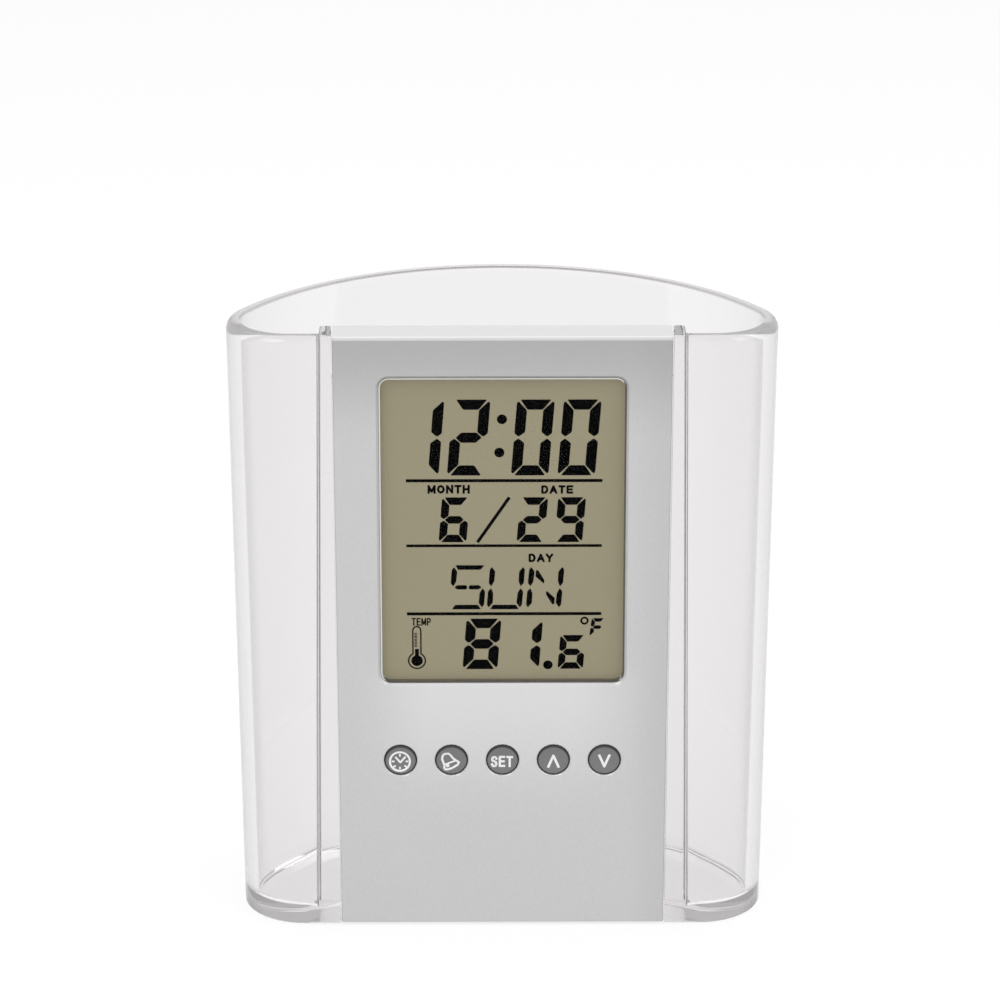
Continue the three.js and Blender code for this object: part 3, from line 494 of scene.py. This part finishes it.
LETTER_PATHS = {
    "A": (0.98, [[(0, 0), (0.5, 1), (1, 0)], [(0.18, 0.3), (0.82, 0.3)]]),
    "D": (0.88, [[(0, 0), (0, 1), (0.55, 1), (0.85, 0.84), (1, 0.5), (0.85, 0.16), (0.55, 0),
                  (0, 0)]]),
    "E": (0.78, [[(1, 1), (0, 1), (0, 0), (1, 0)], [(0, 0.5), (0.9, 0.5)]]),
    "H": (0.86, [[(0, 0), (0, 1)], [(1, 0), (1, 1)], [(0, 0.5), (1, 0.5)]]),
    "M": (1.02, [[(0, 0), (0, 1), (0.5, 0.12), (1, 1), (1, 0)]]),
    "N": (0.88, [[(0, 0), (0, 1), (1, 0), (1, 1)]]),
    "O": (1.0, [[(0.5, 1), (0.85, 0.85), (1, 0.5), (0.85, 0.15), (0.5, 0), (0.15, 0.15), (0, 0.5),
                 (0.15, 0.85), (0.5, 1)]]),
    "P": (0.8, [[(0, 0), (0, 1), (0.65, 1), (0.95, 0.88), (0.95, 0.58), (0.65, 0.45), (0, 0.45)]]),
    "S": (0.8, [[(0.98, 0.8), (0.78, 0.97), (0.5, 1), (0.2, 0.97), (0.02, 0.8), (0.1, 0.62),
                 (0.5, 0.52), (0.9, 0.4), (1, 0.22), (0.8, 0.03), (0.5, 0), (0.2, 0.03),
                 (0, 0.2)]]),
    "T": (0.82, [[(0, 1), (1, 1)], [(0.5, 1), (0.5, 0)]]),
    "Y": (0.92, [[(0, 1), (0.5, 0.46), (1, 1)], [(0.5, 0.46), (0.5, 0)]]),
}


def line(bm, places, width, depth):
    """A drawn line: bars with square ends and a dot at each bend, in layers a hair apart."""
    places = [Vector(place) for place in places]
    closed = (places[0] - places[-1]).length < 1e-6
    bends = places[1:] if closed else places[1:-1]
    if not closed:
        places[0] = places[0] + (places[0] - places[1]).normalized() * width / 2
        places[-1] = places[-1] + (places[-1] - places[-2]).normalized() * width / 2
    for i, (a, b) in enumerate(zip(places, places[1:])):
        stroke(bm, a, b, width, depth - LAYER * (i % 2))
    for x, z in bends:
        disc(bm, x, z, width / 2, depth - 2 * LAYER, sides=10)


def word(bm, letters, left, right, low, high, width, depth):
    """Capital letters drawn with one line width between four outer edges."""
    half, space, count = width / 2, 0.2, len(letters)
    shares = [LETTER_PATHS[c][0] for c in letters]
    unit = (right - left - count * width) / (sum(shares) + space * (count - 1))
    x = left + half
    for letter, share in zip(letters, shares):
        for path in LETTER_PATHS[letter][1]:
            places = [
                (x + u * share * unit, low + half + w * (high - low - width)) for u, w in path
            ]
            line(bm, places, width, depth)
        x += (share + space) * unit + width


def letter_bars(height, width, bar):
    """The bars of an upright letter with fourteen bars, as corner lists from its lower left."""
    m, tip, gap = height / 2, bar * 0.5, 0.12
    upper_left = [
        (0, height - bar * 0.9), (bar * 0.35, height - bar * 0.35), (bar, height - bar - gap * 2),
        (bar * 0.95, m + bar + gap), (tip, m + gap * 1.6), (0, m + bar * 0.7 + gap),
    ]
    top = [
        (bar * 0.5 + gap, height), (width - bar * 0.4 - gap, height),
        (width - bar - gap, height - bar * 0.85), (bar + gap, height - bar * 0.85),
    ]
    half = bar * 0.4
    left_dash = [
        (tip + gap * 1.8, m), (bar + gap * 2, m - half), (width / 2 - gap * 2.6, m - half),
        (width / 2 - gap, m), (width / 2 - gap * 2.6, m + half), (bar + gap * 2, m + half),
    ]
    slope = [
        (bar * 1.25, height - bar * 0.95), (bar * 1.62, height - bar * 0.95),
        (width / 2 - gap * 2.2, m + bar * 1.35), (width / 2 - gap * 2.2, m + bar * 0.75),
        (width / 2 - gap * 4.6, m + bar * 0.85), (bar * 1.25, height - bar * 2.15),
    ]
    lower_left = flipped(upper_left, height)
    return {
        "a": top, "d": flipped(top, height),
        "f": upper_left, "b": mirrored(upper_left, width),
        "e": lower_left, "c": mirrored(lower_left, width),
        "g": left_dash, "h": mirrored(left_dash, width),
        "i": slope, "j": mirrored(flipped(slope, height), width),
    }


LETTERS = {"S": "afghcd", "U": "fedcb", "N": "feijbc"}


def make_display_figures(ink):
    """The time, the date, the day and the temperature, with their words and rules."""
    bm = bmesh.new()
    for sign, x in (("1", -19.07), ("2", -10.45), ("0", 1.58), ("0", 10.33)):
        digit(bm, sign, x, 92.05, 7.05, 15.05, 2.0, 0.24)
    for x, z in ((-0.1, 103.2), (-0.58, 96.6)):
        disc(bm, x, z, 0.95, LCD_DEPTH)
    for sign, x in (("6", -12.07), ("2", 2.66), ("9", 9.8)):
        digit(bm, sign, x, 78.65, 5.25, 9.0, 1.5, 0.2)
    stroke(bm, (-4.72, 78.62), (1.3, 87.65), 0.62, LCD_DEPTH)
    bars = letter_bars(8.95, 6.65, 1.06)
    for letter, x in (("S", -10.22), ("U", -3.02), ("N", 4.42)):
        for name in LETTERS[letter]:
            slanted_bar(bm, bars[name], x, 65.02, SLANT, 0.1)
    digit(bm, "8", -7.63, 52.75, 6.65, 10.35, 1.95, 0.26)
    digit(bm, "1", 0.3, 52.95, 6.65, 9.75, 1.85, 0.26)
    disc(bm, 8.67, 53.6, 0.9, LCD_DEPTH)
    digit(bm, "6", 10.5, 52.8, 4.85, 6.9, 1.32, 0.17)
    digit(bm, "F", 16.55, 59.5, 2.5, 3.65, 0.72, 0.12, slant=0.12)
    ring(bm, 15.6, 62.65, 0.8, 0.44, LCD_DEPTH)
    left, right = -18.15, 18.8
    for z, half in ((91.0, 0.3), (77.92, 0.27), (64.1, 0.3)):
        low, high = z - half, z + half
        polygon(bm, [(left, low), (right, low), (right, high), (left, high)], LCD_DEPTH)
    thermometer(bm)
    for letters, left, right, low, high, width in (
        ("MONTH", -14.1, -6.15, 88.42, 90.15, 0.42),
        ("DATE", 7.3, 13.3, 88.37, 90.05, 0.42),
        ("DAY", 4.95, 9.6, 74.6, 76.3, 0.42),
        ("TEMP", -17.25, -13.6, 61.7, 63.25, 0.24),
    ):
        word(bm, letters, left, right, low, high, width, LCD_DEPTH)
    solid_shapes(bm, list(bm.faces), FIGURE_THICKNESS)
    finish_piece(bm, "display_figures", ink, "clock_module")


def thermometer(bm):
    """Outline of a tube and bulb, with the filled bulb, its stem and a short scale."""
    x, bulb, filled, scale, tube = -16.3, 54.5, 56.9, 57.4, 60.75
    half, wide = 0.76, 1.6
    bulb_steps, tube_steps = 20, 6
    outline = []
    start = math.asin(half / wide)
    for step in range(bulb_steps + 1):
        angle = math.pi / 2 + start + (2 * math.pi - 2 * start) * step / bulb_steps
        outline.append((x + wide * math.cos(angle), bulb + wide * math.sin(angle)))
    for step in range(tube_steps + 1):
        angle = math.pi * step / tube_steps
        outline.append((x + half * math.cos(angle), tube + half * math.sin(angle)))
    line(bm, outline + outline[:1], 0.26, LCD_DEPTH)
    disc(bm, x, bulb, 1.1, LCD_DEPTH)
    stroke(bm, (x, bulb + 0.6), (x, filled), 0.74, LCD_DEPTH - 2 * LAYER)
    for step in range(10):
        z = scale + step * 0.3
        stroke(bm, (x - 0.46, z), (x + 0.04, z), 0.16, LCD_DEPTH)


# The keys

KEYS = ["key_clock", "key_alarm", "key_set", "key_up", "key_down"]


def key_x(index):
    return (index - 2) * KEY["pitch"]


def face_depth(radius):
    """How far behind the front face a key's dished face lies, at a distance from its middle."""
    share = min(radius / (KEY["radius"] - KEY["round"]), 1)
    return KEY["recess"] + KEY["dish"] * (1 - share ** 2)


def make_key(index, material):
    """A key spun from half its section: dished face, rounded edge, flange and stem."""
    x = key_x(index)
    bm = bmesh.new()
    flat = KEY["radius"] - KEY["round"]
    radii = [flat * step / KEY_STEPS for step in range(KEY_STEPS + 1)]
    outline = [(r, face_depth(r)) for r in radii]
    for step in range(1, KEY_STEPS + 1):
        angle = math.pi / 2 * step / KEY_STEPS
        outline.append((
            flat + KEY["round"] * math.sin(angle),
            KEY["recess"] + KEY["round"] * (1 - math.cos(angle)),
        ))
    outline += [
        (KEY["radius"], KEY["flange_front"]), (KEY["flange_radius"], KEY["flange_front"]),
        (KEY["flange_radius"], KEY["flange_back"]), (KEY["stem_radius"], KEY["flange_back"]),
        (KEY["stem_radius"], KEY["stem_end"]), (0, KEY["stem_end"]),
    ]
    verts = [bm.verts.new(point(x + r, d, KEY["height"])) for r, d in outline]
    edges = [bm.edges.new(pair) for pair in zip(verts, verts[1:])]
    bmesh.ops.spin(
        bm,
        geom=verts + edges,
        cent=point(x, 0, KEY["height"]),
        axis=(0, 1, 0),
        angle=2 * math.pi,
        steps=72,
        use_merge=True,
        use_duplicate=False,
    )
    bmesh.ops.remove_doubles(bm, verts=bm.verts, dist=1e-7)
    bmesh.ops.recalc_face_normals(bm, faces=bm.faces)
    name = KEYS[index]
    piece = finish_piece(bm, name + "_cap", material, name)
    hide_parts(name)


def lay_on_key(bm, index):
    """Bends a flat sign onto the key's dished face."""
    bmesh.ops.triangulate(bm, faces=bm.faces)
    for _ in range(2):
        bmesh.ops.subdivide_edges(
            bm, edges=[e for e in bm.edges if e.calc_length() > 0.4 * MM], cuts=1
        )
    for v in bm.verts:
        r = math.hypot(v.co.x / MM - key_x(index), v.co.z / MM - KEY["height"])
        v.co.y = (FRONT + face_depth(r) - SIGN["proud"]) * MM
    bmesh.ops.triangulate(bm, faces=bm.faces)


def sign_line(bm, x, z, places, width):
    """A drawn line on a key, from places beside its sign's middle."""
    line(bm, [(x + u, z + w) for u, w in places], width, SIGN["drawn_depth"])


def clock_sign(bm, x, z):
    """A round dial with six marks and two hands."""
    ring(bm, x, z, 2.12, 1.72, SIGN["drawn_depth"], sides=48)
    for u, w, far_u, far_w in (
        (0, 0.98, 0, 1.58), (0, -1.12, 0, -1.6), (-1.04, 0, -1.6, 0), (1.1, 0, 1.62, 0),
        (-0.82, -0.86, -1.38, -1.24), (0.86, -0.86, 1.38, -1.24),
    ):
        stroke(bm, (x + u, z + w), (x + far_u, z + far_w), 0.34, SIGN["drawn_depth"])
    sign_line(bm, x, z, [(-0.76, 0.78), (0.08, -0.24), (0.98, 0.84)], 0.36)


def bell_sign(bm, x, z):
    """A tilted bell in outline, with its mouth's edge and clapper."""
    outline = [
        (-1.38, 1.12), (-0.66, 1.2), (-0.26, 0.92), (0.27, 0.2), (0.85, -0.24), (1.42, -0.6),
        (1.15, -1.15), (0.21, -1.75), (-0.61, -2.05), (-1.22, -2.05), (-1.4, -1.78),
        (-1.36, -1.19), (-1.6, -0.56), (-1.82, 0.06), (-1.7, 0.75), (-1.38, 1.12),
    ]
    sign_line(bm, x, z, outline, 0.4)
    sign_line(bm, x, z, [(-1.2, -1.08), (-0.38, -0.74), (0.7, -0.32)], 0.34)
    disc(bm, x - 0.74, z - 1.3, 0.34, SIGN["drawn_depth"], sides=16)


def set_sign(bm, x, z):
    word(bm, "SET", x - 2.1, x + 2.15, z - 1.2, z + 1.1, 0.44, SIGN["drawn_depth"])


def up_sign(bm, x, z):
    sign_line(bm, x, z, [(-0.95, -1.12), (0, 1.12), (0.95, -1.12)], 0.48)


def down_sign(bm, x, z):
    sign_line(bm, x, z, [(-0.95, 1.12), (0, -1.12), (0.95, 1.12)], 0.48)


def make_key_prints(ink):
    """The white signs, each drawn flat and then laid on its key."""
    low = KEY["height"] - SIGN["drop"]
    for index, (draw, shift, z) in enumerate((
        (clock_sign, -0.14, low),
        (bell_sign, 0, KEY["height"]),
        (set_sign, -0.12, low),
        (up_sign, 0, low),
        (down_sign, 0, low),
    )):
        bm = bmesh.new()
        draw(bm, key_x(index) + shift, z)
        lay_on_key(bm, index)
        solid_shapes(bm, list(bm.faces), SIGN["thickness"])
        finish_piece(bm, KEYS[index] + "_print", ink, KEYS[index])


# Shader maths

class Value:
    """A number in a material. Arithmetic on it adds the Math nodes."""

    def __init__(self, graph, socket):
        self.graph, self.socket = graph, socket

    def _math(self, operation, first, second):
        node = self.graph.add("ShaderNodeMath", {"operation": operation}, {0: first, 1: second})
        return Value(self.graph, node.outputs[0])

    def __add__(self, other):
        return self._math("ADD", self, other)

    def __radd__(self, other):
        return self._math("ADD", other, self)

    def __sub__(self, other):
        return self._math("SUBTRACT", self, other)

    def __rsub__(self, other):
        return self._math("SUBTRACT", other, self)

    def __mul__(self, other):
        return self._math("MULTIPLY", self, other)

    def __rmul__(self, other):
        return self._math("MULTIPLY", other, self)

    def __gt__(self, other):
        return self._math("GREATER_THAN", self, other)

    def __lt__(self, other):
        return self._math("LESS_THAN", self, other)

    def __abs__(self):
        return self._math("ABSOLUTE", self, 0)

    def __round__(self):
        return self._math("ROUND", self, 0)


class Graph:
    """The node tree of one material."""

    def __init__(self, name, tree=None):
        self.material = None
        if tree is None:
            self.material = bpy.data.materials.new(name)
            self.material.use_nodes = True
            tree = self.material.node_tree
        self.tree = tree
        self.tree.nodes.clear()

    def add(self, kind, settings=None, inputs=None):
        """Adds a node: its settings first, then the values or links of its sockets."""
        node = self.tree.nodes.new(kind)
        for key, value in (settings or {}).items():
            setattr(node, key, value)
        for key, value in (inputs or {}).items():
            socket = node.inputs[key]
            if isinstance(value, Value):
                value = value.socket
            if isinstance(value, bpy.types.NodeSocket):
                self.tree.links.new(value, socket)
            else:
                socket.default_value = value
        return node

    def places(self, scale=(1, 1, 1)):
        coordinates = self.add("ShaderNodeTexCoord").outputs["Object"]
        return self.add("ShaderNodeMapping", {}, {"Vector": coordinates, "Scale": scale}).outputs[0]

    def parts(self):
        """The place's x, y and z in metres."""
        split = self.add("ShaderNodeSeparateXYZ", {}, {0: self.places()})
        return [Value(self, output) for output in split.outputs]

    def lean(self):
        """How far the surface looks up, from -1 to 1."""
        normal = self.add("ShaderNodeTexCoord").outputs["Normal"]
        split = self.add("ShaderNodeSeparateXYZ", {}, {0: normal})
        return Value(self, split.outputs[2])

    def seen(self):
        """1 for what the camera sees, also in a gloss or through clear plastic, else 0."""
        path = self.add("ShaderNodeLightPath")
        kinds = ("Is Camera Ray", "Is Glossy Ray", "Is Transmission Ray")
        straight, glossy, through = (Value(self, path.outputs[kind]) for kind in kinds)
        return straight + glossy + through > 0.5

    def near_outline(self, half, bottom, top, corner, reach):
        """1 near the outline of an upright rounded rectangle, in millimetres, else 0."""
        steps = (
            ("SUBTRACT", (0, 0, (bottom + top) / 2 * MM)),
            ("MULTIPLY", (1, 0, 1)),
            ("ABSOLUTE", (0, 0, 0)),
            ("SUBTRACT", ((half - corner) * MM, 0, ((top - bottom) / 2 - corner) * MM)),
            ("MAXIMUM", (0, 0, 0)),
        )
        place = self.places()
        for operation, other in steps:
            node = self.add("ShaderNodeVectorMath", {"operation": operation}, {0: place, 1: other})
            place = node.outputs[0]
        return self.length(place) > (corner - reach) * MM

    def length(self, vector):
        node = self.add("ShaderNodeVectorMath", {"operation": "LENGTH"}, {0: vector})
        return Value(self, node.outputs["Value"])

    def noise(self, size, detail=2.0, scale=(1, 1, 1)):
        """Soft noise with spots of about a size in millimetres, from 0 to 1."""
        node = self.add(
            "ShaderNodeTexNoise",
            {},
            {"Vector": self.places(scale), "Scale": 1000 / size, "Detail": detail},
        )
        return Value(self, node.outputs["Fac"])

    def mix(self, share, first, second):
        node = self.add("ShaderNodeMix", {"data_type": "RGBA"}, {0: share, 6: first, 7: second})
        return node.outputs[2]

    def rise(self, value, low, high):
        """From 0 at low to 1 at high, softly."""
        node = self.add(
            "ShaderNodeMapRange",
            {"interpolation_type": "SMOOTHSTEP"},
            {"Value": value, "From Min": low, "From Max": high},
        )
        return Value(self, node.outputs[0])

    def drift(self, value, span):
        """From 0 to 1 over a span given in millimetres."""
        low, high = span
        return self.rise(value, low * MM, high * MM)

    def bump(self, height, distance, strength=1.0):
        sockets = {"Height": height, "Distance": distance * MM, "Strength": strength}
        return self.add("ShaderNodeBump", {}, sockets).outputs[0]

    def principled(self, settings):
        return self.add("ShaderNodeBsdfPrincipled", {}, settings).outputs[0]

    def passing(self, share):
        """Lets light go straight on, dimmed to a share."""
        return self.add("ShaderNodeBsdfTransparent", {}, {"Color": grey(share)}).outputs[0]

    def blend(self, share, first, second):
        """One shader where the share is 0, the other where it is 1."""
        return self.add("ShaderNodeMixShader", {}, {0: share, 1: first, 2: second}).outputs[0]

    def finish(self, shader, inside=None):
        sockets = {"Surface": shader} if inside is None else {"Surface": shader, "Volume": inside}
        self.add("ShaderNodeOutputMaterial", {}, sockets)
        return self.material


def grey(value):
    return (value, value, value, 1)


def plain_finish(
    name, dark, light, roughness, spot=0.6, metallic=0.0, bump=0.004, shade=None, **more
):
    """A moulded or metal finish whose colour and gloss vary a little over the surface."""
    g = Graph(name)
    fine = g.noise(spot, 3)
    broad = g.noise(spot * 20, 2)
    colour = g.mix(fine * 0.6 + broad * 0.4, dark, light)
    settings = {
        "Base Color": shade(g, colour) if shade else colour,
        "Roughness": roughness + (broad - 0.5) * 0.12,
        "Metallic": metallic,
        "Normal": g.bump(fine, bump),
    }
    settings.update({key.replace("_", " "): value for key, value in more.items()})
    return g.finish(g.principled(settings))


def jamb_painted_shade(g):
    """1 on the jambs' far sides, where a painted shade line darkens the clear plastic down each
    side of the clock, else 0.
    """
    x, y, z = g.parts()
    top, foot = jamb_half(CUP["height"]), jamb_half(0)
    plane = z * ((top - foot) / CUP["height"]) + foot * MM
    near = abs(abs(x) - plane) < 0.3 * MM
    behind = y > (FRONT + CUP["wall"] - 0.2) * MM
    before = y < (FRONT + JAMB["depth"] + 0.2) * MM
    return near * behind * before


def clear_plastic():
    """Clear moulding with faint smears: light bends in it, and trapped light leaves it dimmed."""
    g = Graph("clear_polystyrene")
    smears = g.noise(9, 4, (1, 1, 0.5))
    ripple = g.noise(26, 1)
    clear = g.mix(smears, (0.92, 0.91, 0.915, 1), (0.93, 0.92, 0.925, 1))
    # Painted shade: upright faces seen at a grazing angle are tinted darker
    facing = g.add("ShaderNodeLayerWeight", {}, {"Blend": 0.5}).outputs["Facing"]
    upright = 1 - g.rise(abs(g.lean()), *LEANING)
    grazing_shade = g.rise(facing, 0.18, 0.88) * upright
    clear = g.mix(grazing_shade * 0.95, clear, grey(0.57))
    glass = g.principled({
        # Painted shade line on the jambs' far sides
        "Base Color": g.mix(jamb_painted_shade(g), clear, grey(0.3)),
        "Roughness": (smears > 0.62) * 0.012 + 0.004,
        "IOR": 1.5,
        "Transmission Weight": 1.0,
        "Normal": g.bump(ripple, 0.03, 0.3),
    })
    x, _, z = g.parts()
    # Painted light: trapped light in the foot's middle, beside the clock, is hardly dimmed, so that
    # part reads lighter
    foot = (z < 3.5 * MM) * (1 - g.drift(abs(x), (35, 47)))
    unbent = g.passing(0.98)
    piped = g.blend(foot, g.passing(0.81), unbent)
    path = g.add("ShaderNodeLightPath")
    trapped = Value(g, path.outputs["Ray Depth"]) > 4.5
    mixed = g.blend(path.outputs["Is Shadow Ray"], g.blend(trapped, glass, piped), unbent)
    absorbed = {"Color": (0.54, 0.5, 0.52, 1), "Density": 15.0}
    return g.finish(mixed, g.add("ShaderNodeVolumeAbsorption", {}, absorbed).outputs[0])


def silver_paint():
    """Satin silver: fine metal flake in the colour, over a slightly uneven moulding.

    The front carries painted shade towards its top and right and on the lips of the openings,
    a painted sheen below the display, and a painted highlight on the faces above its top edge.
    """
    g = Graph("silver_satin")
    flake = g.noise(0.16, 1)
    cloud = g.noise(22, 2)
    x, y, z = g.parts()
    front = (y < (FRONT + PAINTED_LIGHT["front_depth"]) * MM) * (z < PAINTED_LIGHT["top_edge"] * MM)
    # across and full shape the painted sheen below the display
    across = 1 - g.drift(abs(x), PAINTED_LIGHT["sheen_side"])
    full = g.drift(z, PAINTED_LIGHT["sheen_from"]) * (1 - g.drift(z, PAINTED_LIGHT["sheen_to"])) * across
    shade = g.mix(flake, grey(0.50), grey(0.66))
    # After the random cloud: painted shade towards the top and the right, the painted sheen, a
    # painted highlight above the top edge, and painted shade on the lips that look up
    for share, tone in (
        (cloud * 0.25, 0.64),
        (g.drift(z, PAINTED_LIGHT["top_shade"]) * front * 0.53, 0.3),
        (g.drift(x, PAINTED_LIGHT["right"]) * front * 0.15, 0.3),
        (full * front * 0.45, 0.85),
        ((z > PAINTED_LIGHT["top_edge"] * MM) * 0.25, 0.85),
        (g.rise(g.lean(), *LEANING) * front * 0.3, 0.22),
    ):
        shade = g.mix(share, shade, grey(tone))
    return g.finish(g.principled({
        "Base Color": shade,
        "Metallic": 0.55,
        "Roughness": 0.42 + (cloud - 0.5) * 0.06,
        "Normal": g.bump(flake, 0.006),
    }))


def window_acrylic():
    """Thin clear window with a faint gloss and slight marks.

    What is behind it shows unbent. Its edge carries a painted highlight at the top and left, and
    painted shade elsewhere.
    """
    g = Graph("window_acrylic")
    marks = g.noise(12, 3)
    gloss = g.principled({
        "Base Color": grey(0.02), "Roughness": marks * 0.03 + 0.04, "IOR": 1.49, "Metallic": 0.0,
    })
    x, _, z = g.parts()
    half, bottom, top, corner = WINDOW.values()
    # Painted highlight along the edge at the top and left; painted shade along the right and bottom
    painted_lit_side = 1 - g.drift(x, (half - 0.6, half - 0.2))
    painted_lit_side = painted_lit_side * g.drift(z, (bottom + 0.2, bottom + 0.8))
    edge = g.principled({
        "Base Color": g.mix(painted_lit_side, grey(0.07), grey(0.9)), "Roughness": marks * 0.2 + 0.3,
    })
    rim = g.near_outline(half, bottom, top, corner, 0.2) * (painted_lit_side * 0.4 + 0.4)
    return g.finish(g.blend(rim, g.blend(0.03, g.passing(0.985), gloss), edge))


def painted_key_shadow(g, colour):
    """Paints a shadow on the keys: darkens them along the crescent under the upper edge of their
    holes.
    """
    x, _, z = g.parts()
    turns = x * (1 / (KEY["pitch"] * MM))
    across = (turns - round(turns)) * KEY["pitch"]
    up = z * (1 / MM) - (KEY["height"] - SIGN["drop"])
    place = g.add("ShaderNodeCombineXYZ", {}, {"X": across, "Z": up})
    return g.mix(g.rise(g.length(place.outputs[0]), 2.8, 3.02) * 0.9, colour, grey(0.02))


def board_green():
    """Lacquered board with printed tracks under the green."""
    g = Graph("board_green")
    bricks = g.add(
        "ShaderNodeTexBrick",
        {"offset": 0.5},
        {
            "Vector": g.places(),
            "Scale": 260.0,
            "Color1": (0.02, 0.12, 0.05, 1),
            "Color2": (0.03, 0.16, 0.06, 1),
            "Mortar": (0.07, 0.26, 0.10, 1),
            "Mortar Size": 0.03,
        },
    )
    return g.finish(g.principled({
        "Base Color": bricks.outputs["Color"],
        "Roughness": 0.35 + g.noise(0.5, 2) * 0.15,
        "Normal": g.bump(bricks.outputs["Fac"], 0.03),
    }))


def dress_nodes():
    """Gives every CAD node that stays in sight its finish."""
    silver = silver_paint()
    steel = plain_finish("nickel_steel", grey(0.48), grey(0.62), 0.28, 0.4, 1.0)
    brass = plain_finish("brass_disc", (0.5, 0.33, 0.09, 1), (0.66, 0.45, 0.15, 1), 0.3, 0.5, 1.0)
    rubber = plain_finish("silicone_grey", (0.07, 0.075, 0.08, 1), (0.1, 0.105, 0.11, 1), 0.7, 0.3)
    white = plain_finish("white_moulding", grey(0.74), (0.82, 0.82, 0.79, 1), 0.45, 0.5)
    epoxy = plain_finish("black_epoxy", grey(0.008), grey(0.016), 0.3, 1.2, bump=0.03)
    tan = plain_finish("tan_ceramic", (0.38, 0.2, 0.09, 1), (0.5, 0.28, 0.13, 1), 0.5, 0.3)
    red = plain_finish("red_lead", (0.3, 0.01, 0.01, 1), (0.4, 0.02, 0.02, 1), 0.4, 0.5)
    black = plain_finish("black_lead", grey(0.01), grey(0.02), 0.4, 0.5)
    # The film glows faintly though it is no lamp: painted light that lifts the shade in the
    # window's recess
    film_painted_glow = plain_finish(
        "display_film", (0.27, 0.243, 0.165, 1), (0.284, 0.257, 0.176, 1), 0.5, 0.3, bump=0.001,
        Specular_IOR_Level=0.0, Emission_Color=(0.4, 0.36, 0.248, 1), Emission_Strength=0.28,
    )
    wanted = {
        "front_panel": silver, "rear_housing": silver, "battery_door": silver,
        "display_window": window_acrylic(), "lcd_front_glass": film_painted_glow, "lcd_back_glass": film_painted_glow,
        "lcd_reflector": film_painted_glow, "lcd_holder": white, "contact_strip": rubber,
        "circuit_board": board_green(), "chip_cover": epoxy, "crystal": steel, "thermistor": epoxy,
        "key_mat": rubber, "coin_cell": steel, "positive_contact": steel, "negative_contact": steel,
        "buzzer": brass, "buzzer_lead_red": red, "buzzer_lead_black": black,
        "capacitor_1": tan, "capacitor_2": tan, "capacitor_3": tan,
        "housing_screw_1": steel, "housing_screw_2": steel, "housing_screw_3": steel,
        "housing_screw_4": steel, "board_screw_1": steel, "board_screw_2": steel,
    }
    for node, material in wanted.items():
        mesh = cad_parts[node].data
        mesh.materials.clear()
        mesh.materials.append(material)


# The studio

def make_floor():
    bm = bmesh.new()
    bmesh.ops.create_grid(bm, x_segments=1, y_segments=1, size=4)
    mesh = bpy.data.meshes.new("studio_floor")
    bm.to_mesh(mesh)
    bm.free()
    floor = bpy.data.objects.new("studio_floor", mesh)
    floor.location.z = -0.0002
    bpy.context.scene.collection.objects.link(floor)
    g = Graph("pale_floor")
    matt = g.add("ShaderNodeBsdfDiffuse", {}, {"Color": grey(0.25)})
    dim, full = (
        g.add("ShaderNodeEmission", {}, {"Color": grey(1), "Strength": strength}).outputs[0]
        for strength in (0.58, 0.74)
    )
    glow = g.blend(g.seen(), dim, full)
    both = g.add("ShaderNodeAddShader", {}, {0: matt.outputs[0], 1: glow})
    mesh.materials.append(g.finish(both.outputs[0]))
    floor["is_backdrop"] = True


def make_world():
    world = bpy.data.worlds.new("studio")
    bpy.context.scene.world = world
    world.use_nodes = True
    g = Graph("studio", world.node_tree)
    light, white = (
        g.add("ShaderNodeBackground", {}, {"Color": grey(1), "Strength": strength}).outputs[0]
        for strength in (0.7, 1.0)
    )
    g.add("ShaderNodeOutputWorld", {}, {"Surface": g.blend(g.seen(), light, white)})


def make_lamp(name, place, size, power):
    """A soft rectangular lamp that looks at the object's middle."""
    data = bpy.data.lights.new(name, "AREA")
    data.shape = "RECTANGLE"
    data.size, data.size_y = size
    data.energy = power
    lamp = bpy.data.objects.new(name, data)
    lamp.location = place
    aim = Vector((0, 0, CUP["height"] / 2 * MM)) - Vector(place)
    lamp.rotation_euler = aim.to_track_quat("-Z", "Y").to_euler()
    bpy.context.scene.collection.objects.link(lamp)


def make_camera():
    """The photograph's viewpoint: from the front, and about 20 degrees from above."""
    data = bpy.data.cameras.new("camera")
    data.sensor_width = 36
    data.lens = 163.26
    data.shift_x = -0.0025
    data.clip_start, data.clip_end = 0.01, 20
    camera = bpy.data.objects.new("camera", data)
    yaw, dip = math.radians(0.29), math.radians(20.14)
    reach, height = 0.8, 0.3812
    camera.location = (-reach * math.sin(yaw), FRONT * MM - reach * math.cos(yaw), height)
    camera.rotation_euler = (math.pi / 2 - dip, 0, -yaw)
    bpy.context.scene.collection.objects.link(camera)
    bpy.context.scene.camera = camera


cup = make_cup(clear_plastic())
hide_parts("cup")
dress_nodes()
figures_ink = plain_finish(
    "display_ink", grey(0.001), grey(0.003), 0.5, 0.5, bump=0.001, Specular_IOR_Level=0.0
)
make_display_figures(figures_ink)
key_grey = plain_finish("key_grey", grey(0.16), grey(0.2), 0.42, 0.35, shade=painted_key_shadow)
print_white = plain_finish("print_white", grey(0.86), grey(0.93), 0.5, 0.3)
for index in range(len(KEYS)):
    make_key(index, key_grey)
make_key_prints(print_white)
make_floor()
make_world()
make_lamp("key_light", (-0.5, -0.6, 0.9), (0.6, 0.6), 3.0)
make_lamp("fill_light", (0.7, -0.3, 0.7), (0.6, 0.6), 1.8)
make_lamp("top_light", (0, 0.1, 0.95), (1.5, 1.1), 3.4)
make_camera()
bpy.context.scene.view_settings.view_transform = "Standard"

seen_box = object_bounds()
{"cad": [list(c) for c in cad_box], "scene": [list(c) for c in seen_box]}
